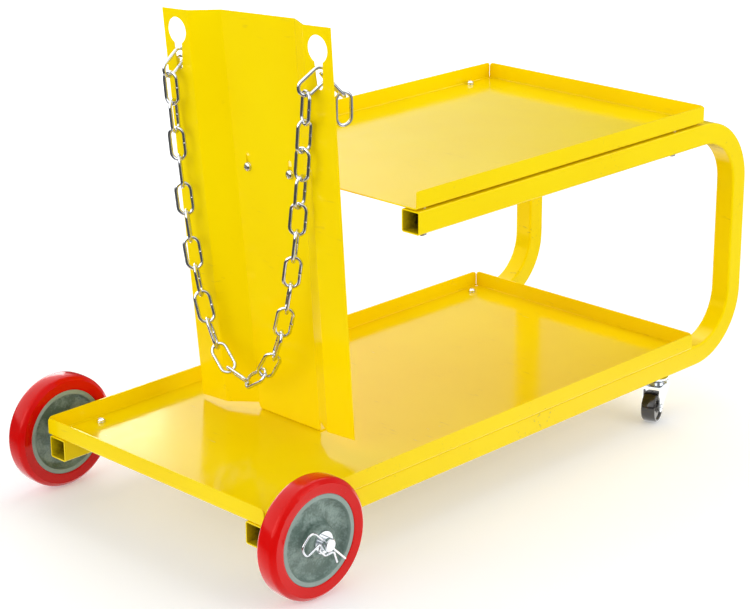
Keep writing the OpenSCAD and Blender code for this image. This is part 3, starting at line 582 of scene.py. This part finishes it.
def quads_of(rows, columns, closed_along):
    """Corner numbers of the faces of a grid whose columns join up, and whose rows join up if
    closed_along: corner (r, c) is number r * columns + c, and each face takes four neighbours."""
    number = np.arange(rows * columns).reshape(rows, columns)
    number = np.concatenate([number, number[:, :1]], 1)
    if closed_along:
        number = np.concatenate([number, number[:1]], 0)
    corners = [number[:-1, :-1], number[:-1, 1:], number[1:, 1:], number[1:, :-1]]
    return np.stack(corners, -1).reshape(-1, 4)


print("a grid of 3 rows and 4 columns has", len(quads_of(3, 4, False)), "faces")

# %% From grids to a piece that rides on a body
SHARP = math.radians(34)
MERGE = 2e-7


def piece(name, grids, body, slot, node):
    """Joins grids, each (points, closed_along), into one mesh object that takes the place of a
    node. Points that fall together, as at a pole, are merged, and faces are turned outwards."""
    sizes = [points.shape[0] * points.shape[1] for points, closed in grids]
    starts = np.cumsum([0] + sizes[:-1])
    corners = np.concatenate([points.reshape(-1, 3) for points, closed in grids]) * MM
    faces = np.concatenate([
        quads_of(*points.shape[:2], closed) + start
        for (points, closed), start in zip(grids, starts)
    ])
    mesh = bpy.data.meshes.new(name)
    mesh.from_pydata(corners.tolist(), [], faces.tolist())
    shape = bmesh.new()
    shape.from_mesh(mesh)
    bmesh.ops.remove_doubles(shape, verts=shape.verts, dist=MERGE)
    bmesh.ops.recalc_face_normals(shape, faces=shape.faces)
    open_edges = sum(len(edge.link_faces) != 2 for edge in shape.edges)
    shape.to_mesh(mesh)
    shape.free()
    mesh.shade_smooth()
    mesh.set_sharp_from_angle(angle=SHARP)
    mesh.materials.append(FINISHES[slot])
    made = bpy.data.objects.new(name, mesh)
    bpy.context.scene.collection.objects.link(made)
    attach(made, body)
    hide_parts(node)
    print(name, len(mesh.polygons), "faces,", open_edges, "open edges")


# %% [markdown]
# Three helpers draw nearly everything. An outline is a few corners, each with a radius. A
# turned shape carries an outline round an axis, as a lathe does. A wire carries a circle along
# a flat line, as bent wire does.

# %% Outlines with rounded corners
def rounded(corners, radii, steps=6, closed=False):
    """A line through corners, with an arc of the given radius at each. The arc touches both
    sides of the corner at radius * tan(turn / 2) from it."""
    corners = np.array(corners, float)
    count = len(corners)
    radii = np.broadcast_to(radii, count)
    parts = []
    for i, (corner, radius) in enumerate(zip(corners, radii)):
        if radius == 0 or (not closed and i in (0, count - 1)):
            parts.append(corner[None])
            continue
        before, after = corner - corners[i - 1], corners[(i + 1) % count] - corner
        before, after = before / np.linalg.norm(before), after / np.linalg.norm(after)
        angle = math.atan2(before[0] * after[1] - before[1] * after[0], before @ after)
        side = np.array([-before[1], before[0]]) * math.copysign(radius, angle)
        centre = corner - before * radius * math.tan(abs(angle) / 2) + side
        swing, arm = np.linspace(0, angle, steps + 1), -side
        x = arm[0] * np.cos(swing) - arm[1] * np.sin(swing)
        y = arm[0] * np.sin(swing) + arm[1] * np.cos(swing)
        parts.append(centre + np.stack([x, y], 1))
    return np.concatenate(parts)


square = rounded([(0, 0), (1, 0), (1, 1), (0, 1)], 0.2, closed=True)
print("a square with rounded corners has", len(square), "points")


# %% Turned shapes and bent wire
def turned(outline, around=96, radius=None):
    """An outline of (radius, height) pairs turned about Z: column c stands at the angle
    2 pi c / around. radius(r, z, angle) may change the radius from place to place."""
    angle = np.linspace(0, 2 * np.pi, around, endpoint=False)
    r, z = outline[:, :1] + 0 * angle, outline[:, 1:] + 0 * angle
    if radius:
        r = radius(r, z, angle)
    return np.stack([r * np.cos(angle), r * np.sin(angle), z], -1)


def wire(line, radii, around=20, closed=False):
    """Round wire along a flat line: each ring is the point + radius * (cos a * normal + sin a * Z),
    where the normal is square to the line's direction there."""
    if closed:
        ahead = np.roll(line, -1, 0) - np.roll(line, 1, 0)
    else:
        ahead = np.gradient(line, axis=0)
    ahead /= np.linalg.norm(ahead, axis=1, keepdims=True)
    normal = np.stack([-ahead[:, 1], ahead[:, 0]], 1)
    angle = np.linspace(0, 2 * np.pi, around, endpoint=False)
    radii = np.broadcast_to(radii, len(line))[:, None]
    flat = line[:, None, :] + normal[:, None, :] * (radii * np.cos(angle))[..., None]
    return np.concatenate([flat, (radii * np.sin(angle))[..., None]], -1)


print("a turned square has", turned(square).shape, "rows, columns and coordinates")

# %% [markdown]
# ## Screws, washers and nuts
# A pan-head screw has a low dome with a cross recess that a driver fits. The dome is a slice of
# a sphere, and the recess is cut into its height: a point near one of the two arms, and not too
# far out, sinks. The thread is a radius that rises and falls once per turn and pitch.

# %% Screw heads and washers
SCREW_D, HEAD_D, HEAD_H, DOME_R = 5.0, 9.5, 3.5, 8.0
WASHER_D, WASHER_T = 10.0, 1.0
RECESS_HALF, RECESS_REACH, RECESS_DEPTH = 0.75, 2.7, 1.9
RECESS_SLOPE, RECESS_RUN = 0.35, 1.1


def recess(x, y):
    """Depth of the cross recess: full within an arm's half-width, sloping to nothing over a
    fraction of a millimetre, and running out towards the arm's end."""
    across, out = np.minimum(abs(x), abs(y)), np.maximum(abs(x), abs(y))
    arm = np.clip((RECESS_HALF - across) / RECESS_SLOPE + 0.5, 0, 1)
    end = np.clip((RECESS_REACH - out) / RECESS_RUN, 0, 1)
    return RECESS_DEPTH * arm * end


def screw_head(twist):
    """Dome, rim and underside over the washer, with its cross turned by twist degrees."""
    reach = HEAD_D / 2
    radius = np.concatenate([np.linspace(0, 3.0, 22), np.linspace(3.3, reach - 0.5, 5)])
    dome = WASHER_T + HEAD_H - DOME_R + np.sqrt(DOME_R ** 2 - radius ** 2)
    edge = [(reach - 0.5, dome[-1]), (reach, dome[-1] - 0.45), (reach, WASHER_T), (0.0, WASHER_T)]
    rim = rounded(edge, [0, 0.4, 0.15, 0], 4)
    grid = turned(np.concatenate([np.stack([radius, dome], 1), rim[1:]]), 96)
    sunk = recess(grid[..., 0], grid[..., 1])
    sunk[len(radius):] = 0
    grid[..., 2] -= sunk
    return moved(turn("Z", twist), grid)


def ring(inner, outer, low, high, around=64):
    """A flat ring with its edges rounded by 0.2 mm."""
    corners = [(inner, low), (outer, low), (outer, high), (inner, high)]
    return turned(rounded(corners, 0.2, 3, closed=True), around)


print("a screw head has", screw_head(0).shape[:2], "rows and columns")

# %% Threads and whole screws
PITCH, THREAD_DEPTH, THREADED = 0.8, 0.3, 8.0


def thread(length, threaded):
    """The shank, from the washer down. Over its last part the radius is less by the thread's
    depth times a wave of height and angle: (z / pitch - angle / 2 pi) runs through 1 each turn."""
    plain = np.linspace(0.5, threaded - length, 3)
    cut = np.linspace(threaded - length - 0.1, 0.7 - length, int(threaded / PITCH * 8))
    z = np.concatenate([plain[:1], plain, cut, [-length, -length]])
    r = np.full(len(z), SCREW_D / 2)
    r[0], r[-2], r[-1] = 0, SCREW_D / 2 - 0.6, 0

    def waved(radius, height, angle):
        phase = (height / PITCH - angle / (2 * np.pi)) % 1.0
        fade = np.clip((threaded - length - height) / PITCH, 0, 1) * (radius > SCREW_D / 2 - 0.1)
        return radius - THREAD_DEPTH * fade * abs(2 * phase - 1) * 2 * (1 - abs(2 * phase - 1) / 2)

    return turned(np.stack([r, z], 1), 28, waved)


def screw(length, twist):
    """One screw with its washer, head up, the washer's underside at height 0."""
    return [
        (screw_head(twist), False),
        (ring(SCREW_D / 2 + 0.05, WASHER_D / 2, 0.0, WASHER_T), True),
        (thread(length, min(THREADED, length - 1.0)), False),
    ]


print("a 20 mm screw is", len(screw(20.0, 0)), "grids")

# %% Nuts
NUT_FLATS, NUT_H = 8.0, 4.2


def nut(twist):
    """A hex nut under its washer. Its side is the lesser of a hexagon, (flats / 2) / cos(angle
    from the flat's middle), and a cone that takes the corners off at both ends."""
    bore = SCREW_D / 2 + 0.03
    low, high = -WASHER_T - NUT_H, -WASHER_T
    edge = np.array([0.0, 0.15, 0.35, 0.6])
    z = np.concatenate([
        [high - 0.45, high], high - edge, [low + NUT_H / 2], low + edge[::-1], [low, low + 0.45]
    ])
    cone = NUT_FLATS / 2 - 0.1 + np.minimum(high - z, z - low) / math.tan(math.radians(30))
    cone[[0, -1]], cone[[1, -2]] = bore, bore + 0.4

    def hexagon(radius, height, angle):
        from_middle = (angle + np.pi / 6) % (np.pi / 3) - np.pi / 6
        return np.minimum(radius, NUT_FLATS / 2 / np.cos(from_middle))

    body = turned(np.stack([cone, z], 1), 72, hexagon)
    return [(moved(turn("Z", twist), body), True), (ring(bore, WASHER_D / 2, high, 0.0), True)]


print("a nut is", len(nut(0)), "grids")

# %% [markdown]
# Four screws hold each shelf to the rails, from above, with their nuts under the tube. Nobody
# lines the crosses of screws up, so each is left at a turn of its own, from a random draw with
# a fixed seed.

# %% Fasteners of the shelves
SHEET, TUBE = 1.5, 25.0
RAIL_LOW, RAIL_TOP = 52.5, 77.5
UPPER_LOW, UPPER_TOP, UPPER_GAP = 327.5, 352.5, 1.6
LOWER_SCREW_X, UPPER_SCREW_X, SCREW_Y = (-324.0, 287.0), (-141.0, 280.0), 158.0
GRIP = WASHER_T + NUT_H
LOWER_LENGTH = TUBE + SHEET + GRIP + 0.6
UPPER_LENGTH = TUBE + UPPER_GAP + SHEET + GRIP + 1
draw = np.random.default_rng(7)


def spots(xs, z):
    """The four places of a shelf's screws at height z."""
    return [shift(x, side * SCREW_Y, z) for x in xs for side in (-1, 1)]


def fasteners(name, places, make, node):
    """One piece with a fastener at each place, each turned as it was left by hand."""
    grids = [grid for place in places for grid in moved_grids(place, make(draw.uniform(0, 360)))]
    piece(name, grids, "cart_frame", "fastener_steel", node)


fasteners("shelf_screws_lower", spots(LOWER_SCREW_X, RAIL_TOP + SHEET),
          lambda twist: screw(LOWER_LENGTH, twist), "lower_shelf_screws")
fasteners("shelf_nuts_lower", spots(LOWER_SCREW_X, RAIL_LOW), nut, "lower_shelf_nuts")
fasteners("shelf_screws_upper", spots(UPPER_SCREW_X, UPPER_TOP + UPPER_GAP + SHEET),
          lambda twist: screw(UPPER_LENGTH, twist), "upper_shelf_screws")
fasteners("shelf_nuts_upper", spots(UPPER_SCREW_X, UPPER_LOW), nut, "upper_shelf_nuts")

# %% [markdown]
# The back plate leans and stands a little askew. Its screws, keyholes and chain are easiest to
# place in a frame of its own, whose matrix then carries them into the cart's frame.

# %% The back plate's own frame and its fasteners
PLATE_X, PLATE_SHIFT, PLATE_TILT, PLATE_LEAN = -176.5, 10.0, 3.25, 1.4
PLATE_FOOT = shift(PLATE_X, PLATE_SHIFT, RAIL_TOP + SHEET)
PLATE = PLATE_FOOT @ turn("Y", -PLATE_LEAN) @ turn("X", -PLATE_TILT)
PLATE_SCREW_Y, PLATE_SCREW_Z, FOOT_SCREW_X, FOOT_SCREW_Y = 33.0, 285.5, 20.7, 26.0
PLATE_LENGTH = 2 * SHEET + 0.2 + GRIP + 1
FOOT_LENGTH = 2 * SHEET + GRIP + 1
HEAD_FORWARD = turn("Y", -90)


def on_plate(x, y, z):
    """A point of the plate's frame, in the cart's frame."""
    return moved(PLATE, np.array([x, y, z]))


def foot_spots(z):
    """The two places of the foot's screws at height z."""
    return [
        shift(PLATE_X + FOOT_SCREW_X, PLATE_SHIFT + side * FOOT_SCREW_Y, z) for side in (-1, 1)
    ]


plate_spots = [
    shift(*on_plate(0, side * PLATE_SCREW_Y, PLATE_SCREW_Z)) @ turn("Y", -PLATE_LEAN)
    for side in (-1, 1)
]
behind = shift(2 * SHEET + 0.1, 0, 0) @ HEAD_FORWARD
fasteners("plate_screws_cross", [place @ HEAD_FORWARD for place in plate_spots],
          lambda twist: screw(PLATE_LENGTH, twist), "plate_screws")
fasteners("plate_nuts_hex", [place @ behind for place in plate_spots], nut, "plate_nuts")
fasteners("foot_screws_cross", foot_spots(RAIL_TOP + 2 * SHEET),
          lambda twist: screw(FOOT_LENGTH, twist), "foot_screws")
fasteners("foot_nuts_hex", foot_spots(RAIL_TOP), nut, "foot_nuts")

# %% [markdown]
# ## Chain
# A welded link is one round wire bent to a long ring, with its ends welded in the middle of one
# straight side, where the wire is upset a little. A simulated chain would settle by itself, but
# it would take long and land a little differently each time, and a formula gives the same curve.

# %% One link
WIRE, LINK_IN, LINK_WIDE = 4.0, 30.8, 20.5
LINK_R = (LINK_WIDE - WIRE) / 2
LINK_C = LINK_IN / 2 + WIRE / 2 - LINK_R
HALF_LINK = LINK_C + LINK_R
WELD_RISE, WELD_WIDTH = 0.26, 0.85


def link():
    """A link flat in XY with its length along Y, as a closed wire. The wire grows at the weld by
    rise * exp(-(distance / width) squared)."""
    bend = np.linspace(0, np.pi, 19)
    at_middle = np.linspace(-1.8, 1.8, 9)
    side = np.concatenate([
        np.linspace(-LINK_C, -2.4, 3), at_middle, np.linspace(2.4, LINK_C, 3)
    ])[1:-1]
    far = np.stack([LINK_R * np.cos(bend), LINK_C + LINK_R * np.sin(bend)], 1)
    line = np.concatenate([
        np.stack([np.full(len(side), LINK_R), side], 1), far,
        np.stack([np.full(len(side), -LINK_R), -side], 1), -far,
    ])
    at_weld = np.where(line[:, 0] > LINK_R - 0.01, line[:, 1], 100.0)
    radii = WIRE / 2 + WELD_RISE * np.exp(-((at_weld / WELD_WIDTH) ** 2))
    return wire(line, radii, 18, closed=True)


LINK = [(link(), True)]
print("a link has", LINK[0][0].shape[:2], "rings and points round each")

# %% [markdown]
# At each keyhole one link passes through the slot and rests on its lower edge, tilted down
# towards the front. Behind the plate another link keeps it from pulling out, and on the left a
# spare link hangs from that one. The numbers for the two sides differ because the chain was
# hooked in by hand.

# %% Links at the keyholes
KEYHOLE_Y, SLOT_END_Z, TROUGH = 109.0, 388.5, 19.5
HOOK_TILT = 40.0
HOOK_TURN, HOOK_BACK, HOOK_OVER = {-1: 30.0, 1: 0.0}, {-1: 1.2, 1: 0.6}, {-1: 1.8, 1: 0.9}
BEHIND_DIP, BEHIND_TURN = {-1: 48.0, 1: 75.0}, {-1: 23.0, 1: 0.0}
THROUGH = {-1: (3.6, 0.6, 1.3), 1: (3.4, 0, 0)}
REACH_X = 2 * LINK_C * math.cos(math.radians(HOOK_TILT))
REACH_Z = 2 * LINK_C * math.sin(math.radians(HOOK_TILT))
LENGTHWISE = turn("Z", 90)


def slot_point(side):
    """Middle of the rear end of the link that passes through a keyhole's slot."""
    rise = LINK_WIDE / 2 / math.cos(math.radians(HOOK_TILT)) + HOOK_OVER[side]
    return on_plate(-TROUGH, side * KEYHOLE_Y, SLOT_END_Z + rise) + [HOOK_BACK[side], 0, 0]


def hook_end(side):
    """Middle of that link's front end, which the hanging loop holds on to."""
    angle = math.radians(HOOK_TURN[side])
    return slot_point(side) + [-REACH_X * math.cos(angle), REACH_X * math.sin(angle), -REACH_Z]


behind_links = []
for side, word in ((-1, "left"), (1, "right")):
    place = shift(*slot_point(side))
    middle = place @ turn("Z", -HOOK_TURN[side]) @ shift(-REACH_X / 2, 0, -REACH_Z / 2)
    hook = middle @ turn("Y", -HOOK_TILT) @ LENGTHWISE @ turn("Y", 90)
    grids = moved_grids(hook, LINK)
    piece("hook_link_" + word, grids, "cart_frame", "chain_steel", "chain_hook_link_" + word)
    held = place @ shift(*THROUGH[side]) @ turn("Z", -BEHIND_TURN[side])
    dipped = held @ turn("Y", BEHIND_DIP[side]) @ shift(HALF_LINK, 0, 0) @ LENGTHWISE
    behind_links += moved_grids(dipped, LINK)
    if side < 0:
        dip = math.radians(BEHIND_DIP[side])
        drop = WIRE + 0.12 - HALF_LINK - 2 * HALF_LINK * math.sin(dip)
        spare = held @ shift(2 * HALF_LINK * math.cos(dip), 0, drop) @ turn("X", 90)
        behind_links += moved_grids(spare, LINK)
piece("links_behind_plate", behind_links, "cart_frame", "chain_steel", "chain_retaining_links")

# %% [markdown]
# The hanging loop is a catenary. Its height over its lowest point is a * (cosh(s / a) - 1), and
# the length of chain from there is a * sinh(s / a), so the joints between links, which are one
# pitch apart along the chain, come straight from the inverse sinh. The size a is the one at
# which the curve between the two hooks is as long as the chain.

# %% The curve of the hanging loop
LOOP_LINKS, CHAIN_PITCH = 24, LINK_IN - 0.3
HANG = LINK_R - WIRE - 0.4
HALVINGS = 40


def catenary_size(span, rise, length):
    """The a for which 2 a sinh(span / 2a) = sqrt(length^2 - rise^2), by halving an interval."""
    low, high = 15.0, 300.0
    for _ in range(HALVINGS):
        middle = (low + high) / 2
        too_long = 2 * middle * math.sinh(span / 2 / middle) > math.sqrt(length ** 2 - rise ** 2)
        low, high = (middle, high) if too_long else (low, middle)
    return middle


right_end, left_end = [hook_end(side) - [0, 0, HANG + WIRE / 2] for side in (1, -1)]
span = math.hypot(*(right_end - left_end)[:2])
rise = right_end[2] - left_end[2]
size = catenary_size(span, rise, LOOP_LINKS * CHAIN_PITCH)
lowest = span / 2 - size * math.asinh(rise / (2 * size * math.sinh(span / 2 / size)))
first = size * math.sinh((span - lowest) / size)
along = lowest + size * np.arcsinh((first - np.arange(LOOP_LINKS + 1) * CHAIN_PITCH) / size)
drop_in = np.cosh((along - lowest) / size) - math.cosh((span - lowest) / size)
height = right_end[2] + size * drop_in
print("catenary of size", round(size, 1), "mm over a span of", round(span, 1), "mm")

# %% The hanging loop
SLACK_ROLL, TWIST_STEP, ROLL_STEP = 5.0, 11.25, 150


def link_roll(i):
    """Roll of link i about its own length: a quarter turn from its neighbours, a twist near the
    keyholes that brings the end links square to the hook links, and a little play."""
    left = i > LOOP_LINKS / 2
    from_end = LOOP_LINKS + 1 - i if left else i
    twist = max(0.0, 45 + (HOOK_TURN[-1] if left else 0) - TWIST_STEP * from_end)
    play = SLACK_ROLL * math.sin(math.radians(ROLL_STEP * i)) * min(1, (from_end - 1) / 2)
    return 90 * i - 45 + (-twist if left else twist) + play


loop_turn = math.degrees(math.atan2(left_end[0] - right_end[0], right_end[1] - left_end[1]))
loop_frame = shift(left_end[0], left_end[1], 0) @ turn("Z", loop_turn)
loop_grids = []
for i in range(1, LOOP_LINKS + 1):
    slope = math.degrees(math.atan2(height[i] - height[i - 1], along[i] - along[i - 1]))
    middle = shift(0, (along[i] + along[i - 1]) / 2, (height[i] + height[i - 1]) / 2)
    flipped = turn("Y", 180 * (i // 2 % 2))
    place = loop_frame @ middle @ turn("X", slope) @ turn("Y", link_roll(i)) @ flipped
    loop_grids += moved_grids(place, LINK)
piece("hanging_links", loop_grids, "hanging_chain", "chain_steel", "chain_loop")

# %% [markdown]
# ## Wheels
# A moulded wheel is a turned shape: one outline, turned about the axle. The outline's corners are
# few, and an arc at each does the rest. The tyre has a flat side, a thin edge, and a round
# shoulder that runs into a nearly flat tread. The hub is a thin disc between a rim and a boss.

# %% Tyres and hubs
AXLE_X, AXLE_Z, WHEEL_Y = -347.0, 65.0, 201.5
TYRE_HALF = [(48.5, 12.2), (50.2, 12.6), (59.4, 13.5), (64.3, 9.4), (65.0, 0.0)]
TYRE_RADII = [0.3, 0.4, 0.4, 6.0, 60.0]
KEY_GROOVE = [(48.5, -4.0), (51.5, -4.0), (51.5, 4.0), (48.5, 4.0)]
HUB_HALF = [
    (51.4, 3.9), (48.4, 3.9), (48.4, 12.0), (43.5, 12.0), (42.5, 7.5), (38.5, 3.5), (22.0, 3.5),
    (19.0, 6.5), (17.5, 15.8), (16.5, 17.0), (12.8, 17.0), (12.4, 16.5), (12.0, 17.0),
    (10.0, 17.0), (9.5, 16.4),
]
HUB_RADII = [0.3, 0.3, 0.5, 0.7, 1.5, 3.0, 4.0, 4.0, 1.0, 0.5, 0.15, 0.15, 0.15, 0.3, 0.2]


def both_sides(half, radii, skip_middle):
    """A half outline and its mirror image in height, with the radius of each corner."""
    back = half[::-1][1:] if skip_middle else half[::-1]
    back_radii = radii[::-1][1:] if skip_middle else radii[::-1]
    return half + [(r, -z) for r, z in back], radii + back_radii


tyre_corners, tyre_radii = both_sides(TYRE_HALF, TYRE_RADII, True)
tyre_outline = rounded(tyre_corners + KEY_GROOVE, tyre_radii + [0.2] * 4, 8, closed=True)
hub_corners, hub_radii = both_sides(HUB_HALF, HUB_RADII, False)
hub_outline = rounded(hub_corners, hub_radii, 6, closed=True)
moulded = (("tyre_", tyre_outline, "tyre_red"), ("hub_", hub_outline, "hub_grey"))
for side, word in ((-1, "left"), (1, "right")):
    place = shift(AXLE_X, side * WHEEL_Y, AXLE_Z) @ turn("X", -90)
    for name, outline, slot in moulded:
        grids = moved_grids(place, [(turned(outline, 180), True)])
        piece(name + word, grids, word + "_wheel", slot, "wheel_" + name + word)

# %% [markdown]
# ## Hitch clips
# An R-shaped clip is springy wire. Its straight leg goes through the cross hole in the axle, and
# its other leg bulges round the axle's end. The line has its bends as arcs, and each end of the
# wire is closed by a small dome: rings that shrink as the cosine while they move on as the sine.

# %% Clips
AXLE_R, CLIP_Y, CLIP_WIRE, CLIP_TURN = 7.0, 225.5, 2.4, 45
HUG = AXLE_R + CLIP_WIRE / 2 + 0.6
CLIP_LINE = [
    (34, 0), (-29.5, 0), (-30.5, 21.5), (-17, 23), (-HUG - 0.4, 1.2),
    (2 - HUG, HUG + 1.8), (HUG - 3.8, HUG + 1.8), (13, 2), (26, 8.5),
]
CLIP_BENDS = [0, 8, 8, 5, 1.8, 4.5, 4.5, 3, 0]
CLIP_TRIM = [(-CLIP_WIRE / 2, 0), (-1.1, -0.5)]


def with_domes(line, radius, steps=5):
    """Extends a line at both ends for a dome. Returns the line and the radius at each point."""
    lift = np.linspace(np.pi / 2, 0, steps + 1)[:-1]
    first = (line[0] - line[1]) / np.linalg.norm(line[0] - line[1])
    last = (line[-1] - line[-2]) / np.linalg.norm(line[-1] - line[-2])
    start = line[0] + first * (np.sin(lift) * radius)[:, None]
    end = line[-1] + last * (np.sin(lift[::-1]) * radius)[:, None]
    shrink = np.cos(lift) * radius
    radii = np.concatenate([shrink, np.full(len(line), radius), shrink[::-1]])
    radii[[0, -1]] = 0
    return np.concatenate([start, line, end]), radii


clip_line = rounded(CLIP_LINE, CLIP_BENDS, 10)
clip_line[[0, -1]] += CLIP_TRIM
clip_points, clip_radii = with_domes(clip_line, CLIP_WIRE / 2)
for side, word in ((-1, "left"), (1, "right")):
    place = shift(AXLE_X, side * CLIP_Y, AXLE_Z) @ turn("X", -90) @ turn("Z", CLIP_TURN)
    grids = moved_grids(place, [(wire(clip_points, clip_radii, 16), False)])
    piece("hitch_clip_" + word, grids, "cart_frame", "zinc_bright", "r_clip_" + word)

# %% [markdown]
# ## Caster wheels and rivets
# A caster's wheel is hard black plastic: a slightly crowned tread, a fine edge where it meets the
# side, and a dished face round the boss. The rivet that it turns on is spun over at both ends,
# which leaves a ring pressed into its head.

# %% Caster wheels
CASTER_X, CASTER_Y, CASTER_TRAIL, CASTER_TURN, CASTER_Z = 267.0, 158.5, 14.0, 20.0, 19.0
ROLLER_HALF = [
    (2.55, 8.5), (6.5, 8.5), (7.3, 6.6), (15.0, 6.5), (15.8, 8.3), (17.4, 8.5), (18.6, 7.0),
    (19.0, 0.0),
]
ROLLER_RADII = [0.2, 0.4, 0.4, 0.6, 0.3, 0.5, 1.5, 40.0]
RIVET_HALF = [
    (0.0, 12.5), (1.2, 12.9), (1.9, 12.3), (2.6, 12.9), (3.7, 12.7), (4.2, 12.1), (4.2, 11.42),
    (2.5, 11.42),
]
RIVET_RADII = [0, 0.3, 0.3, 0.3, 0.6, 0.3, 0.1, 0.1]

roller_outline = rounded(*both_sides(ROLLER_HALF, ROLLER_RADII, True), 6, closed=True)
rivet_outline = rounded(*both_sides(RIVET_HALF, RIVET_RADII, False), 4)
for side, word in ((-1, "left"), (1, "right")):
    fork = shift(CASTER_X, side * CASTER_Y, 0) @ turn("Z", CASTER_TURN)
    place = fork @ shift(-CASTER_TRAIL, 0, CASTER_Z) @ turn("X", -90)
    grids = moved_grids(place, [(turned(roller_outline, 120), True)])
    piece("roller_" + word, grids, word + "_roller", "caster_black", "caster_wheel_" + word)
    grids = moved_grids(place, [(turned(rivet_outline, 48), False)])
    piece("rivet_" + word, grids, word + "_swivel", "zinc_bright", "caster_rivet_" + word)
